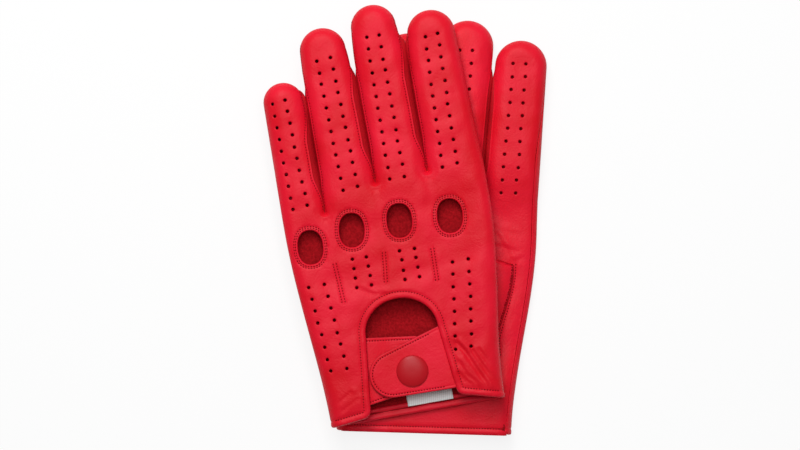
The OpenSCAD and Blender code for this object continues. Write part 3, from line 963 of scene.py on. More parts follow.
@dataclass
class Glove:
    """One glove: its sewn skins, thread and label."""

    hand: Hand
    placing: Placing
    pattern: HandPattern
    finishes: Finishes
    strip_t: float = 0.8
    facing_t: float = 0.5
    hem_t: float = 0.6
    belly: float = 1.4
    strip_share: tuple = (0.68, 0.32)
    strip_sink: tuple = (0.95, 0.75)
    overlap: float = 0.27
    thumb_size: tuple = (72.0, 19.0, 12.0)
    thumb_at: tuple = (38.95, 67.0)
    thumb_turn: float = 158.0
    thumb_slant: float = 10.5
    label_t: float = 0.25
    label_size: tuple = (23.0, 26.0)
    label_at: tuple = (7.0, 17.0)
    grid_pitch: float = 1.4
    wrist_top: float = 36.0
    proud: float = 0.06

    def name(self, piece: str) -> str:
        """Full name of one of the glove's pieces."""
        return f"{self.hand.value}_{piece}"

    @property
    def body(self) -> str:
        """Body that the glove's pieces ride on."""
        return self.name("glove")

    def skins(self) -> list[bpy.types.Material]:
        """Materials of a skin: grain side, flesh side and cut edge."""
        kinds = self.finishes.leather, self.finishes.suede, self.finishes.cut_edge
        return [one.material() for one in kinds]

    def dress(self, made: bpy.types.Object, slot: str, *nodes: str, body: str = "") -> None:
        """Let a piece ride on its body and stand for its nodes.

        Args:
            made: The piece.
            slot: Material slot of the record; not used.
            nodes: Names of the nodes without the hand.
            body: Body to ride on; the glove where empty.
        """
        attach(made, body or self.body)
        if nodes:
            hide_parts(*[self.name(node) for node in nodes])
        LOG.info("%s: %d faces", made.name, len(made.data.polygons))

    def leather(self, piece: Piece, thickness: float, *nodes: str, rim: int = GRAIN) -> None:
        """Finish a leather piece.

        Args:
            piece: The piece's outer face.
            thickness: Its thickness.
            nodes: Names of the nodes that it stands for.
            rim: Mark of its rim's material.
        """
        made = piece.finish(self.placing, self.skins())
        give_wall(made, thickness, rim=rim)
        self.dress(made, "glove_leather", *nodes)

    def level(self, points: Array, gap: Array, face: Face) -> Array:
        """Height of a puffed face before its seams and folds are pressed in.

        Args:
            points: Points in the plane.
            gap: Their distances from the hand's edge.
            face: The back or the palm.

        Returns:
            The heights.
        """
        low = self.pattern.palm_level(points[:, 1])
        middle = (self.pattern.depth + low) / 2
        dome = np.sqrt(np.clip(1 - (1 - np.clip(gap / self.pattern.bulge, 0, 1)) ** 2, 0, 1))
        return middle + face.value * dome * (self.pattern.depth - low) / 2

    def back_relief(self, points: Array, gap: Array) -> Array:
        """Seams, folds and waves of the back.

        Args:
            points: Points in the plane.
            gap: Their distances from the hand's edge.

        Returns:
            Heights to add.
        """
        x, y = points[:, 0], points[:, 1]
        pattern = self.pattern
        soft = smooth((gap - pattern.rim) / 5)
        lift = soft * (waves(points, BACK_WAVES) - SETTLE)
        # The empty hand sinks in below the knuckles and towards each fork
        lift -= 0.9 * smooth((y - 60) / 12) * (1 - smooth((y - 100) / 16)) * smooth((gap - pattern.rim) / 15)
        for i in range(3):
            down = smooth((y - pattern.web_y[i] + 20) / 18) * (y < pattern.web_y[i] + 2)
            lift -= 0.8 * np.exp(-((x - pattern.edges[i + 1]) / 3.6) ** 2) * down
        lift += HEM.height(reach(points, self.hem_line()))
        for i in range(4):
            lift += KNUCKLE.height(reach(points, pattern.knuckle(i, 0.0), True))
        for one in TUCKS:
            lift += TUCK.height(reach(points, np.array(one)))
        for *line, depth in WRIST_FOLDS:
            line = resample(np.array(line), 1.0)
            crest = np.exp(-((reach(points, line + np.array([1.6, 0.9]))) / 1.3) ** 2)
            lift += 1.3 * depth * soft * (0.6 * crest - np.exp(-(reach(points, line) / 0.9) ** 2))
        return lift

    def palm_relief(self, points: Array, gap: Array) -> Array:
        """Seams, folds and waves of the palm, outwards.

        Args:
            points: Points in the plane.
            gap: Their distances from the hand's edge.

        Returns:
            Heights to add outwards.
        """
        y = points[:, 1]
        soft = smooth((gap - self.pattern.rim) / 5)
        lift = soft * waves(points, PALM_WAVES) * np.clip(y / 30, 0.2, 1)
        lift += HEM.height(y) + PALM_GROOVE.height(reach(points, THUMB_SEAM)) - SETTLE * soft
        for *line, depth in PALM_FOLDS:
            line = resample(np.array(line), 1.0)
            crest = np.exp(-(reach(points, line + np.array([0.6, 1.6])) / 1.6) ** 2)
            lift += depth * soft * (0.7 * crest - np.exp(-(reach(points, line) / 1.0) ** 2))
        return lift

    def hem_line(self) -> Array:
        """The back's free edge, drawn on past the cuff at both ends."""
        edge = self.pattern.notch(0.0)
        return np.concatenate([[2 * edge[0] - edge[4]], edge, [2 * edge[-1] - edge[-5]]])

    def edge_gap(self, points: Array) -> Array:
        """Distance of points from the hand's edge."""
        return reach(points, self.pattern.outline(0.0)[0])

    def ring(self, turns: Array, sink: float | Array = 0.0, push: float | Array = 0.0,
             face: Face = Face.BACK) -> Array:
        """Points round the hand's puffed edge.

        Args:
            turns: Turn of the skin at each edge point in degrees, from 90 on top to -90 below.
            sink: Distance below the skin's outer face.
            push: Distance outwards in the plane.
            face: Whose cuff the ring ends at.

        Returns:
            The points.
        """
        outer, _ = self.pattern.outline(0.0)
        step = self.pattern.outline(1.0, face)[0] - outer
        a = np.radians(turns)
        gap = self.pattern.bulge * (1 - np.cos(a))
        roll = HEM.height(outer[:, 1])
        # The stitched groove is shallow where it meets the side seam
        roll = np.where(outer[:, 1] > 2.6, 0.4 * roll, roll)
        # The hem's roll is pressed straight down on the flat and squarely in on the side
        square = smooth((48 - np.abs(turns)) / 30)
        flat = outer + step * (gap + (sink - roll * square) * np.cos(a) - push)[:, None]
        low = self.pattern.palm_level(flat[:, 1])
        half = (self.pattern.depth - low) / 2
        z = half + low + (half - sink) * np.sin(a) + roll * (square * np.sin(a) + (1 - square) * np.sign(a))
        return np.column_stack([flat, z])

    def skirt(self, piece: Piece, line: list[bmesh.types.BMVert], face: Face, steps: int) -> None:
        """Turn a sheet's edge over the side of the hand.

        Args:
            piece: The piece that holds the sheet.
            line: Vertices along the sheet's edge.
            face: The back or the palm.
            steps: Number of rows before the seam.
        """
        pattern = self.pattern
        outer, weight = pattern.outline(0.0)
        top = face.value * math.degrees(math.acos(1 - pattern.rim / pattern.bulge))
        ends = pattern.seam_turns(face)
        before = face.value * np.minimum(face.value * ends + pattern.seam_run, face.value * top - 1.0)
        course = [(top + (before - top) * k / steps, 0.0) for k in range(1, steps)]
        # The seam allowance stands up as a narrow lip in the forks, and on the sides the palm goes in
        # under the back
        away = smooth((outer[:, 1] - 5) / 8)
        lip = away * np.minimum(weight, 1.0)
        dip = away * np.where(weight > 0, 0.0, smooth(-ends / 30)) * (face is Face.PALM)
        ends = ends + pattern.tuck_in * dip
        course += [(before + (ends - before) * k / 3, DIP[k] * dip - LIP[k] * lip) for k in range(4)]
        piece.draw_out(line, [self.ring(turns, sink, face=face) for turns, sink in course])

    def fill_points(self, edge: Array, holes: Array, clear: Sequence[tuple[Array, bool, float]],
                    extra: Sequence[Array]) -> Array:
        """Inner points of a panel: an even grid, rings round the holes and rows along welts.

        Args:
            edge: Closed edge of the panel.
            holes: Middles of the perforations.
            clear: Lines that the grid keeps away from, whether each is closed, and by how much.
            extra: Rows of points to add.

        Returns:
            The points.
        """
        pitch = self.grid_pitch
        points = grid(edge, pitch)
        # The wrist's sharp folds need a closer grid
        hand = points[points[:, 1] > self.wrist_top + 0.5]
        points = np.concatenate([hand, grid(edge, 1.0, self.wrist_top)])
        points = points[inside(points, edge)]
        for line, closed, width in [(edge, True, 0.5 * pitch), *clear]:
            points = points[reach(points, line, closed) > width]
        collar = self.pattern.hole_d / 2 + 0.55
        for hole in holes:
            points = points[((points - hole) ** 2).sum(axis=1) > (collar + 0.5 * pitch) ** 2]
        rows = np.concatenate(list(extra))
        rows = rows[inside(rows, edge)]
        rows = rows[reach(rows, edge, True) > 0.12]
        return np.concatenate([points, rows] + [hole + collar * arc(0, 360, 11)[:-1] for hole in holes])

    def back_plan(self, rim: Array) -> tuple[list, list, list, list]:
        """What the back's sheet is cut by.

        Args:
            rim: The sheet's edge along the hand's sides and fingers.

        Returns:
            The free edge's parts, the knuckle holes, rows of points and lines that the grid keeps clear of.
        """
        pattern = self.pattern
        notch, hem = pattern.notch(0.0), self.hem_line()
        cuffs = [resample(np.array(ends), 1.4)[1:-1] for ends in ((rim[-1], notch[0]), (notch[-1], rim[0]))]
        ovals = [pattern.knuckle(i, 0.0) for i in range(4)]
        rows = []
        for gap in HEM_ROWS:
            row = resample(pattern.notch(gap), 1.3)
            rows.append(row[np.abs(reach(row, hem) - gap) < 0.1])
        rows += [pattern.knuckle(i, gap) for i in range(4) for gap in KNUCKLE.steps[1:-1]]
        clear = [(hem, False, 5.4)] + [(oval, True, 3.0) for oval in ovals]
        for one in TUCKS:
            line = resample(np.array(one), 1.0)
            rows += [line + np.array([dx, 0]) for dx in (-1.3, -0.8, -0.4, 0, 0.4, 0.8, 1.3)]
            clear.append((line, False, 1.8))
        return [cuffs[0], notch, cuffs[1]], ovals, rows, clear

    def palm_plan(self, rim: Array) -> tuple[list, list, list, list]:
        """What the palm's sheet is cut by.

        Args:
            rim: The sheet's edge along the hand's sides and fingers.

        Returns:
            The free edge's parts, no ovals, rows of points and lines that the grid keeps clear of.
        """
        cuff = resample(np.array([rim[-1], rim[0]]), 1.4)[1:-1]
        across = np.arange(-42, 42, 1.3)
        rows = [np.column_stack([across, np.full(len(across), gap)]) for gap in HEM_ROWS]
        seam = resample(THUMB_SEAM, 1.0)
        rows += [seam + np.array([dx, 0]) for dx in (-1.5, -1.0, -0.5, 0, 0.5, 1.0, 1.5)]
        return [cuff], [], rows, [(np.array([rim[0], rim[-1]]), False, 5.4), (seam, False, 2.0)]

    def build_panel(self, face: Face) -> None:
        """Cut, punch and form the back or the palm.

        Args:
            face: The back or the palm.
        """
        pattern = self.pattern
        rim, _ = pattern.outline(pattern.rim, face)
        free, ovals, rows, clear = self.back_plan(rim) if face is Face.BACK else self.palm_plan(rim)
        edge = np.concatenate([rim, *free])
        holes = pattern.punches(face)
        punch = pattern.hole_d / 2 * arc(0, 360, 13)[:-1]

        def keep(middle: Array) -> Array:
            """Tell which faces lie on the panel.

            Args:
                middle: Centres of the faces.

            Returns:
                True for each face that is kept.
            """
            good = inside(middle, edge)
            for oval in ovals:
                good &= ~inside(middle, oval)
            for hole in holes:
                good &= ((middle - hole) ** 2).sum(axis=1) > (pattern.hole_d / 2 * 0.95) ** 2
            return good
        fill = self.fill_points(edge, holes, clear, rows)
        flat, faces, number = cut_sheet([edge, *ovals, *[hole + punch for hole in holes]], fill, keep)
        gap = self.edge_gap(flat)
        z = self.level(flat, gap, face)
        if face is Face.BACK:
            # Leather is pulled in a little round each punched hole
            near = np.min([np.sqrt(((flat - hole) ** 2).sum(axis=1)) for hole in holes], axis=0)
            z += self.back_relief(flat, gap) - 0.16 * np.exp(-((near - pattern.hole_d / 2) / 0.6) ** 2)
            z = np.minimum(z, pattern.depth)
        else:
            # The heel of the hand has stretched the palm behind the wrist opening
            heel = 3.0 * np.exp(-((flat[:, 0] + 1) / 16) ** 2 - ((flat[:, 1] - 50) / 12) ** 2)
            z = np.maximum(z - self.palm_relief(flat, gap) - heel, 0.0)
            faces = faces[:, ::-1]
        side = face.name.lower()
        piece = Piece(self.name(f"{side}_skin"))
        verts = piece.lay(np.column_stack([flat, z]), faces.tolist())
        self.skirt(piece, [verts[k] for k in number[:len(rim)]], face, 8 if face is Face.BACK else 5)
        if face is Face.PALM:
            for k, hole in enumerate(holes):
                first = len(edge) + len(punch) * k
                self.pit(piece, [verts[j] for j in number[first:first + len(punch)]], hole)
        self.leather(piece, pattern.skin, side)

    def pit(self, piece: Piece, loop: list[bmesh.types.BMVert], middle: Array) -> None:
        """Close a palm perforation a little way in, so that it looks as dark as one lying on a table.

        Args:
            piece: The palm.
            loop: Vertices round the hole.
            middle: The hole's middle.
        """
        rim = np.array([vert.co[:] for vert in loop])
        centre = np.array([*middle, rim[:, 2].mean()])
        rows = [centre + (rim - centre) * np.array([share, share, 1.0]) + np.array([0.0, 0.0, deep])
                for deep, share in ((1.6, 0.98), (3.4, 0.9))]
        floor = piece.draw_out(loop, rows, closed=True, mark=FLESH)
        piece.work.faces.new(floor[::-1]).material_index = FLESH

    def build_palm_hem(self) -> None:
        """Form the palm's hem, turned in at the cuff."""
        roll = np.array([1.15, 1.2]) + 1.1 * arc(195, 75, 9)
        flap = [[2.2, 2.1], [2.9, 1.8], [3.4, 1.55], [3.9, 1.75], [4.8, 1.8], [5.8, 1.65]]
        profile = np.concatenate([roll, flap])
        rows = []
        for x in np.linspace(-40.5, 40.5, 55):
            row = np.column_stack([np.full(len(profile), x), profile])
            row[:, 2] += 0.12 * ripples(row[:, :2] * np.array([1, 0]), 14, 31) * smooth(row[:, 1] / 2)
            rows.append(row)
        piece = Piece(self.name("palm_hem_fold"))
        piece.draw_out(piece.lay(rows[0]), rows[1:])
        self.leather(piece, self.hem_t)

    def build_fourchettes(self) -> None:
        """Form the three strips between the fingers."""
        pattern = self.pattern
        outer, weight = pattern.outline(0.0)
        runs = runs_of(np.nonzero(weight > 0.02)[0])
        # A strip reaches in under both skins
        tops = pattern.seam_turns(Face.BACK) + 3
        lows = pattern.seam_turns(Face.PALM) - 3
        # The belly is fullest at this share of a strip's width, where the hand's edge already turns under
        fullest = 0.5 ** (1 / self.belly)
        under = pattern.bulge * (1 - np.cos(np.radians(tops + (lows - tops) * fullest)))
        push = np.zeros(len(outer))
        for run, meet in zip(runs, pattern.meet_y):
            # Strips of neighbouring fingers belly out until they meet, up to a little below the shorter tip
            bend = run[weight[run] > 1.0]
            sides = run[run < bend[0]], run[run > bend[-1]]
            for one, other, share in zip(sides, sides[::-1], self.strip_share):
                full = reach(outer[one], outer[other])
                below = smooth((meet + 6 - outer[one][:, 1]) / 6)
                push[one] = (share * full + under[one] + self.overlap) * below
            push[bend] = pattern.web_gap / 2 + 0.3
        rings = []
        for t in np.linspace(1, 0, 11):
            swell = math.sin(math.pi * t ** self.belly)
            sink = self.strip_sink[0] - self.strip_sink[1] * swell
            rings.append(self.ring(tops + (lows - tops) * t, sink, push * swell ** 1.2))
        for run, node in zip(runs, ("little_ring", "ring_middle", "middle_index")):
            piece = Piece(self.name(f"fourchette_{node}_strip"))
            piece.draw_out(piece.lay(rings[0][run]), [ring[run] for ring in rings[1:]])
            # The strips wear the nappa darkened as painted shade between the fingers
            skins = [self.finishes.side_leather_painted_shade.material(), self.finishes.suede.material()]
            strip = piece.finish(self.placing, skins)
            give_wall(strip, self.strip_t)
            self.dress(strip, "fourchette_leather", f"fourchette_{node}")

    def thumb_sleeve(self) -> Array:
        """Draw the thumb's folded edge.

        Returns:
            Points from its sewn root round the tip and back.
        """
        length, half, tip = self.thumb_size
        t = np.linspace(0, 1, 24)
        top = np.column_stack([t * (length - tip), half + (tip - half) * smooth(t * 0.9 + 0.05)])
        end = np.array([length - tip, 0.0]) + tip * arc(90, -90, 25)[1:-1]
        local = np.concatenate([top, end, top[::-1] * np.array([1, -1])])
        # Its root is cut on a slant, along the seam
        slant = math.tan(math.radians(self.thumb_slant))
        local[:, 0] -= np.clip(1 - local[:, 0] / 30, 0, 1) * local[:, 1] * slant
        angle = math.radians(self.thumb_turn)
        along = np.array([math.cos(angle), math.sin(angle)])
        across = np.array([-along[1], along[0]])
        return np.array(self.thumb_at) + local[:, 0:1] * along + local[:, 1:2] * across

    def thumb_form(self, points: Array, sleeve: Array) -> tuple[Array, Array]:
        """How the folded thumb lies.

        Args:
            points: Points in the plane.
            sleeve: The thumb's folded edge.

        Returns:
            Height of its middle, and share of its full puff: quick at the fold, slow at the sewn root.
        """
        root = reach(points, THUMB_ROOT)
        t = np.minimum(np.clip(reach(points, sleeve) / 7.5, 0, 1), np.clip(root / 17, 0, 1))
        return 2.5 + 1.7 * (1 - smooth(root / 12)), np.sqrt(np.clip(1 - (1 - t) ** 2, 0, 1))

    def thumb_level(self, points: Array, sleeve: Array) -> Array:
        """Height of the thumb's outer face.

        Args:
            points: Points in the plane.
            sleeve: The thumb's folded edge.

        Returns:
            The heights.
        """
        middle, puff = self.thumb_form(points, sleeve)
        groove = THUMB_GROOVE.height(reach(points, THUMB_ROOT))
        return middle - (middle - 0.7) * puff + 0.18 * ripples(points, 17, 21) * puff + groove

    def build_thumb(self) -> None:
        """Form the thumb, folded flat across the palm."""
        sleeve = self.thumb_sleeve()
        edge = resample(np.concatenate([sleeve, THUMB_ROOT]), 1.6)[:-1]
        fill = grid(edge, 1.7)
        fill = fill[inside(fill, edge)]
        fill = fill[reach(fill, edge, True) > 0.8]
        flat, faces, _ = cut_sheet([edge], fill, lambda middle: inside(middle, edge))
        middle, puff = self.thumb_form(flat, sleeve)
        upper = np.column_stack([flat, self.thumb_level(flat, sleeve)])
        lower = np.column_stack([flat, middle + (4.3 - middle) * puff])
        # Both faces share the points of the edge, so the sleeve is closed all round
        rimmed = reach(flat, edge, True) < 1e-4
        remap = np.where(rimmed, 0, len(flat)) + np.arange(len(flat))
        faces = faces[~rimmed[faces].all(axis=1)]
        piece = Piece(self.name("thumb_sleeve"))
        piece.lay(np.concatenate([upper, lower]), faces[:, ::-1].tolist() + remap[faces].tolist())
        spare = [vert for vert in piece.work.verts if not vert.link_faces]
        bmesh.ops.delete(piece.work, geom=spare, context="VERTS")
        made = piece.finish(self.placing, self.skins())
        self.dress(made, "glove_leather", "thumb")

    def band(self, piece: Piece, inner: Array, outer: Array, drop: float, closed: bool) -> None:
        """Add a band of leather sewn under the back, between two lines.

        Args:
            piece: The piece that takes the band.
            inner: Points along the first line.
            outer: As many points along the last line.
            drop: Distance of the band's upper face below the back's.
            closed: Whether the band's ends are joined.
        """
        rows = []
        for share in np.linspace(0, 1, 6):
            flat = inner + (outer - inner) * share
            gap = self.edge_gap(flat)
            z = self.level(flat, gap, Face.BACK) + np.minimum(self.back_relief(flat, gap), 0.0) - drop
            rows.append(np.column_stack([flat, z]))
        piece.draw_out(piece.lay(rows[0]), rows[1:], closed)

    def facing_edge(self) -> Array:
        """The opening facing's outer edge, trimmed back where a perforation is close.

        Returns:
            As many points as the notch has.
        """
        pattern = self.pattern
        holes = pattern.punches(Face.BACK)
        near, narrow, wide = 0.45, 1.8, 5.2
        inner, full = pattern.notch(near), pattern.notch(wide)
        width = np.full(len(inner), narrow)
        free = np.ones(len(inner), dtype=bool)
        for grow in np.linspace(narrow, wide, 18):
            away = pattern.notch(grow)[:, None] - holes[None]
            free &= np.sqrt((away ** 2).sum(axis=2)).min(axis=1) > 1.4
            width = np.where(free, grow, width)
        return inner + (full - inner) * ((width - near) / (wide - near))[:, None]

    def build_facings(self) -> None:
        """Form the facings behind the knuckle holes and the wrist opening."""
        pattern = self.pattern
        rings = Piece(self.name("knuckle_facing_rings"))
        for i in range(4):
            self.band(rings, pattern.knuckle(i, 0.15), pattern.knuckle(i, 2.6), 1.35, True)
        hem = Piece(self.name("opening_facing_strip"))
        inner = pattern.notch(0.45)
        tall = inner[:, 1] > 9.0
        self.band(hem, self.facing_edge()[tall], inner[tall], 1.25, False)
        self.leather(rings, self.facing_t, "knuckle_facings")
        self.leather(hem, self.facing_t, "opening_facing")

    def build_label(self) -> None:
        """Form the bare ribbon label sewn inside the cuff."""
        piece = Piece(self.name("ribbon_label"))
        bmesh.ops.create_grid(piece.work, x_segments=24, y_segments=26, size=0.5)
        for vert in piece.work.verts:
            x = vert.co.x * self.label_size[0] + self.label_at[0]
            y = vert.co.y * self.label_size[1] + self.label_at[1]
            wave = 0.12 * math.sin(x * 0.5) * math.sin(y * 0.4 + 1) + 0.3 * math.exp(-((y - 4.2) / 0.8) ** 2)
            # Its sewn end lies up on the cuff's turned hem
            rise = 1.4 * float(smooth(np.array((10.5 - y) / 6)))
            vert.co = (x, y, 2.25 + wave + rise + float(self.pattern.palm_level(np.array(y))))
        made = piece.finish(self.placing, [self.finishes.ribbon.material()])
        give_wall(made, self.label_t, inner=GRAIN)
        self.dress(made, "label_cloth", "label")
        self.name("palm_skin")

    def on_skin(self, line: Array, face: Face) -> Array:
        """Put a flat line onto the back or the palm.

        Args:
            line: Points in the plane.
            face: The back or the palm.

        Returns:
            Close points that stand a little proud of the leather.
        """
        flat = resample(line, 0.6)
        gap = self.edge_gap(flat)
        relief = self.back_relief if face is Face.BACK else self.palm_relief
        z = self.level(flat, gap, face) + face.value * (relief(flat, gap) + self.proud)
        return np.column_stack([flat, z])

    def thread(self, name: str, sewing: Sewing, body: str = "") -> None:
        """Make one piece of thread.

        Args:
            name: Name of the piece.
            sewing: Its rows of stitches.
            body: Body to ride on; the glove where empty.
        """
        piece = Piece(self.name(name))
        sewing.lay_in(piece)
        # The thread's dark red is partly painted shade of its stitch holes
        made = piece.finish(self.placing, [self.finishes.thread.material()])
        self.dress(made, "glove_leather", body=body)

    def sew_back(self) -> None:
        """Sew the back's hem, knuckle holes, tucks and finger seams."""
        pattern = self.pattern
        sewing = Sewing()
        lines = [pattern.notch(HEM_STITCH)]
        for i in range(4):
            ovals = [pattern.knuckle(i, gap, 60) for gap in KNUCKLE_STITCHES]
            lines += [np.concatenate([oval, oval[:1]]) for oval in ovals]
        for one in TUCKS:
            lines += [np.array(one) + np.array([dx, 0]) for dx in (-TUCK_STITCH, TUCK_STITCH)]
        for line in lines:
            sewing.row(self.on_skin(line, Face.BACK))
        _, weight = pattern.outline(0.0)
        seam = self.ring(pattern.seam_turns(Face.BACK) + 10.0, sink=-0.02)
        for run in runs_of(np.nonzero((weight > 0.05) & (weight <= 1.0))[0]):
            sewing.row(seam[run], length=0.8, radius=0.32)
        self.thread("back_thread", sewing)

    def sew_palm(self) -> None:
        """Sew the thumb's seam on both its sides, and the palm's hem."""
        sewing = Sewing()
        seam = resample(THUMB_SEAM, 1.0)
        sewing.row(self.on_skin(seam + np.array([1.0, 0]), Face.PALM))
        inner = resample(seam[seam[:, 1] > 49] - np.array([1.0, 0]), 0.6)
        # Along its root the thumb's height doesn't depend on its far folded edge
        far = np.array([[-30.0, 90.0], [-30.0, 91.0]])
        sewing.row(np.column_stack([inner, self.thumb_level(inner, far) - self.proud]))
        sewing.row(self.on_skin(np.array([[-39.0, HEM_STITCH], [39.0, HEM_STITCH]]), Face.PALM))
        self.thread("palm_thread", sewing)

    def build(self) -> None:
        """Build every piece of the glove."""
        self.build_panel(Face.BACK)
        self.build_panel(Face.PALM)
        self.build_palm_hem()
        self.build_fourchettes()
        self.build_thumb()
        self.build_facings()
        closure = Closure(self)
        closure.build_strap()
        closure.build_cap()
        closure.build_tab()
        if self.hand is Hand.LEFT:
            self.build_label()
        self.sew_back()
        self.sew_palm()
        closure.sew()
        closure.plate_metal()


@dataclass
class Closure:
    """A glove's strap with its cap, the tab under it and the snap between them."""

    glove: Glove
    wall: float = 0.95
    edge_pitch: float = 1.1
    hinge_foot: tuple = (19.69, 9.4)
    hinge_head: tuple = (16.11, 41.0)
    root_run: tuple = (2.8, 0.3164)
    end_at: tuple = (-9.33, 21.4)
    end_r: float = 11.5
    strap_z: float = 11.68
    hinge_z: float = 11.7
    snap_at: tuple = (0.7, 21.4)
    cap_r: float = 8.0
    cap_foot: float = 12.02
    cap_rise: float = 1.46
    tab_z: float = 8.3
    tab_r: float = 8.0
    tab_root: float = -29.6

    def plate(self, name: str, edge: Array, level: Callable[[Array], Array]) -> Piece:
        """A plate of leather with a softened raw edge.

        Args:
            name: Name of the piece.
            edge: Closed edge, turning left.
            level: Height of the upper face.

        Returns:
            The plate's upper face.
        """
        rows = []
        for step in RAW_EDGE.steps[1:]:
            row = edge + inward(edge) * step
            rows.append(row[np.abs(reach(row, edge, True) - step) < 0.08])
        fill = grid(edge, 1.5)
        fill = fill[inside(fill, edge)]
        fill = fill[reach(fill, edge, True) > 3.1]
        flat, faces, _ = cut_sheet([edge], np.concatenate([fill] + rows), lambda spot: inside(spot, edge))
        gap = reach(flat, edge, True)
        piece = Piece(self.glove.name(name))
        piece.lay(np.column_stack([flat, level(flat) + RAW_EDGE.height(gap)]), faces.tolist())
        for face, spot in zip(piece.work.faces, gap[faces].mean(axis=1)):
            face.material_index = CUT if spot < 0.22 else GRAIN
        return piece

    def strap_level(self, points: Array) -> Array:
        """Height of the strap's upper face: level under the cap, lifting a little at its free end."""
        return self.strap_z + 0.85 * smooth((-8.5 - points[:, 0]) / 12.5)

    def strap_edge(self) -> Array:
        """Draw the strap's edge with its sewn root.

        Returns:
            Even points that turn left from the root's lower corner.
        """
        foot, head, root = np.array(self.hinge_foot), np.array(self.hinge_head), np.array(self.root_run)
        round_end = np.array(self.end_at) + self.end_r * arc(106, 270, 34)
        corners = np.concatenate([[foot + root, head + root, head], round_end, [foot]])
        return resample(corners, self.edge_pitch, closed=True)

    def build_strap(self) -> None:
        """Form the strap with its sewn root."""
        glove = self.glove
        piece = self.plate("strap_tongue", self.strap_edge(), self.strap_level)
        made = piece.finish(glove.placing, glove.skins())
        give_wall(made, self.wall, rim=CUT)
        foot, head = np.array(self.hinge_foot), np.array(self.hinge_head)
        middle = (foot + head) / 2
        out = np.array([head[1] - foot[1], foot[0] - head[0]])
        out /= np.linalg.norm(out)
        sewn, free = middle + 0.3 * out, middle - 2.6 * out
        glove.body
        glove.name("strap")
        glove.placing.point(*sewn, self.hinge_z)
        glove.placing.point(*free, self.hinge_z)
        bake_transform(made)
        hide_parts(glove.name("strap"), glove.name("strap_root"))
        LOG.info("%s: %d faces", made.name, len(made.data.polygons))

    def build_cap(self) -> None:
        """Turn the snap's cap and shank."""
        shank = [(0.0, 10.75), (1.7, 10.75), (1.7, 11.72), (7.5, 11.72), (7.86, 11.8),
                 (self.cap_r, self.cap_foot)]
        dome = [(r, self.cap_foot + self.cap_rise * (1 - (r / self.cap_r) ** 2.6) ** 0.62)
                for r in (*np.linspace(7.98, 7.0, 9), *np.linspace(6.6, 0.0, 12))]
        piece = Piece(self.glove.name("painted_snap_cap"))
        verts = [piece.work.verts.new((x, 0.0, z)) for x, z in shank + dome]
        edges = [piece.work.edges.new(pair) for pair in zip(verts, verts[1:])]
        bmesh.ops.spin(piece.work, geom=verts + edges, cent=(0, 0, 0), axis=(0, 0, 1), angle=2 * math.pi,
                       steps=56, use_merge=True)
        bmesh.ops.remove_doubles(piece.work, verts=piece.work.verts[:], dist=1e-4)
        bmesh.ops.recalc_face_normals(piece.work, faces=piece.work.faces[:])
        bmesh.ops.translate(piece.work, verts=piece.work.verts[:], vec=(*self.snap_at, 0.0))
        made = piece.finish(self.glove.placing, [self.glove.finishes.paint.material()])
        self.glove.dress(made, "painted_cap", "snap_cap", body=self.glove.name("strap"))

    def tab_level(self, points: Array) -> Array:
        """Height of the tab's upper face: low under the snap, rising to the hem that holds it."""
        x = points[:, 0]
        return self.tab_z + 2.1 * smooth((-5.5 - x) / 14.5) + 1.2 * smooth((-20.5 - x) / 4)

    def tab_edge(self) -> Array:
        """Draw the tab's edge.

        Returns:
            Even points that turn left from its lower sewn corner.
        """
        low = np.array([3.0, 20.0]) + self.tab_r * arc(-90, 0, 12)
        high = np.array([3.0, 30.6]) + self.tab_r * arc(0, 90, 12)
        corners = np.concatenate([[[self.tab_root, 7.2]], low, high, [[self.tab_root, 43.0]]])
        return resample(corners, self.edge_pitch, closed=True)

    def build_tab(self) -> None:
        """Form the tab under the strap."""
        piece = self.plate("under_tab", self.tab_edge(), self.tab_level)
        self.glove.leather(piece, self.wall, "tab", rim=CUT)

    def border(self, edge: Array, level: Callable[[Array], Array],
               keep: Callable[[Array], Array]) -> Sewing:
        """Sew a border row inside a plate's edge.

        Args:
            edge: The plate's closed edge, turning left.
            level: Height of the plate.
            keep: Tells which points are sewn.

        Returns:
            The sewn rows.
        """
        sewing = Sewing()
        row = edge + inward(edge) * EDGE_STITCH
        runs = runs_of(np.nonzero((np.abs(reach(row, edge, True) - EDGE_STITCH) < 0.12) & keep(row))[0])
        if len(runs) > 1 and runs[0][0] == 0 and runs[-1][-1] == len(edge) - 1:
            runs[0] = np.concatenate([runs.pop(), runs[0]])
        for run in runs:
            if len(run) > 3:
                sewing.row(np.column_stack([row[run], level(row[run]) - 0.12]), radius=0.34)
        return sewing

    def sew(self) -> None:
        """Sew the borders of the strap and of the tab, short of where the hem covers them."""
        lean = 0.113
        strap = self.border(self.strap_edge(), self.strap_level,
                            lambda spot: spot[:, 0] < 15.4 - (spot[:, 1] - self.hinge_foot[1]) * lean)
        self.glove.thread("strap_thread", strap, self.glove.name("strap"))
        tab = self.border(self.tab_edge(), self.tab_level, lambda spot: spot[:, 0] > self.tab_root + 2.1)
        self.glove.thread("tab_thread", tab)

    def plate_metal(self) -> None:
        """Give the snap's hidden parts their plating."""
        for node in ("snap_socket", "snap_stud", "snap_post"):
            made = bpy.data.objects[self.glove.name(node)]
            made.data.materials.clear()
            made.data.materials.append(self.glove.finishes.metal.material())
            LOG.info("%s: plated", made.name)


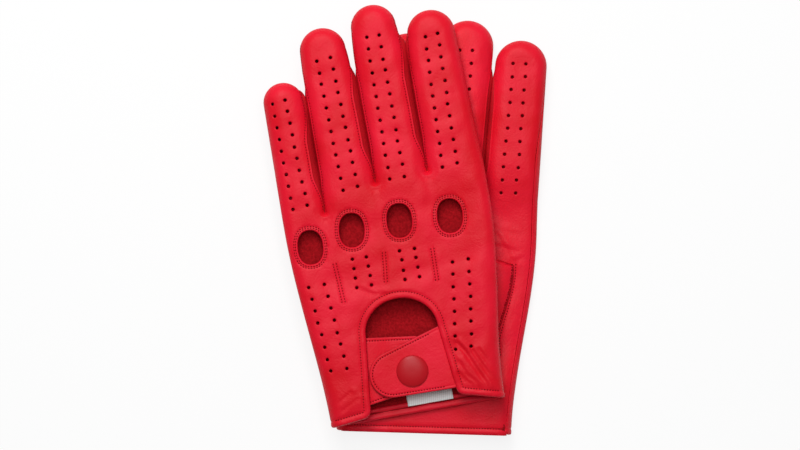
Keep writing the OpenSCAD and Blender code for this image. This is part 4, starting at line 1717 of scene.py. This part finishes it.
@dataclass
class Studio:
    """Pale floor, soft light and the camera straight above."""

    width_mm: float = 400.0
    height_m: float = 1.7
    plane_mm: float = 20.0
    middle_mm: tuple = (-2.85, -1.99)
    sensor_mm: float = 36.0
    floor_colour: str = "#FBFBFB"
    glow_share: float = 0.85
    fill_light: float = 0.24
    # Name, place and size in metres, and power in watts
    lamps: tuple = (("key", (-0.14, 0.6, 0.78), 0.42, 5.6), ("overhead", (0.0, 0.14, 0.8), 0.35, 2.1))

    def build(self) -> None:
        """Build the whole studio."""
        self.build_camera()
        self.build_floor()
        self.build_lights()

    def build_camera(self) -> None:
        """Put the camera straight above the gloves."""
        data = bpy.data.cameras.new("camera")
        data.sensor_width = self.sensor_mm
        data.lens = self.sensor_mm * (self.height_m - self.plane_mm * MM) / (self.width_mm * MM)
        data.clip_end = 50.0
        made = add_object("camera", data)
        made.location = (self.middle_mm[0] * MM, self.middle_mm[1] * MM, self.height_m)
        bpy.context.scene.camera = made

    def build_floor(self) -> None:
        """Lay the pale floor."""
        work = bmesh.new()
        bmesh.ops.create_grid(work, x_segments=1, y_segments=1, size=3.0)
        mesh = bpy.data.meshes.new("studio_floor")
        work.to_mesh(mesh)
        work.free()
        made = add_object("studio_floor", mesh)
        # Seamless paper: the camera sees it half lit from behind, so it is white and keeps a faint shadow
        paper = bpy.data.materials.new("white_backdrop_paper")
        paper.use_nodes = True
        tree = paper.node_tree
        body = tree.nodes["Principled BSDF"]
        body.inputs["Base Color"].default_value = linear(self.floor_colour)
        body.inputs["Roughness"].default_value = 0.9
        body.inputs["Specular IOR Level"].default_value = 0.1
        rays = add_node(tree, "ShaderNodeLightPath")
        seen = rays.outputs["Is Camera Ray"]
        for kind in ("Is Glossy Ray", "Is Transmission Ray"):
            either = add_node(tree, "ShaderNodeMath", {"operation": "MAXIMUM"},
                              {0: seen, 1: rays.outputs[kind]})
            seen = either.outputs[0]
        share = add_node(tree, "ShaderNodeMath", {"operation": "MULTIPLY", 1: self.glow_share}, {0: seen})
        glow = add_node(tree, "ShaderNodeEmission", {"Strength": 1.0})
        both = add_node(tree, "ShaderNodeMixShader", {},
                        {0: share.outputs[0], 1: body.outputs["BSDF"], 2: glow.outputs["Emission"]})
        tree.links.new(both.outputs["Shader"], tree.nodes["Material Output"].inputs["Surface"])
        mesh.materials.append(paper)

    def build_lights(self) -> None:
        """Hang two soft boxes and set the world's fill."""
        for name, place, size, power in self.lamps:
            data = bpy.data.lights.new(name, "AREA")
            data.shape = "SQUARE"
            data.size = size
            data.energy = power
            made = add_object(name, data)
            made.location = place
            made.rotation_euler = (-Vector(place)).to_track_quat("-Z", "Y").to_euler()
        world = bpy.data.worlds.new("studio")
        world.use_nodes = True
        back = world.node_tree.nodes["Background"]
        back.inputs["Color"].default_value = (1.0, 1.0, 1.0, 1.0)
        back.inputs["Strength"].default_value = self.fill_light
        bpy.context.scene.world = world
        bpy.context.scene.view_settings.view_transform = "Standard"


def main() -> None:
    """Build both gloves and the studio."""
    logging.basicConfig(level=logging.INFO, format="%(name)s %(message)s")
    Studio().build()
    finishes = Finishes()
    left = HandPattern(tip_w=(20.0, 23.0, 22.6, 24.0), tip_lean=(0.0, -0.6, -0.6, -0.3),
                       tip_y=(174.5, 198.0, 205.0, 197.5), meet_y=(165.0, 171.0, 183.0),
                       bow=(0.5, 1.05, 1.2))
    right = HandPattern(tip_w=(20.0, 24.0, 26.0, 26.0), tip_lean=(0.0, 1.0, 4.0, 3.7),
                        tip_y=(174.5, 201.0, 208.3, 199.0), meet_y=(165.0, 173.0, 179.5),
                        bow=(0.5, 1.05, 0.45))
    Glove(Hand.LEFT, Placing(10.1, (6.397, -95.992, 13.8), False), left, finishes).build()
    Glove(Hand.RIGHT, Placing(-1.7, (9.147, -106.742, 13.5), True), right, finishes).build()


if __name__ == "__main__":
    main()
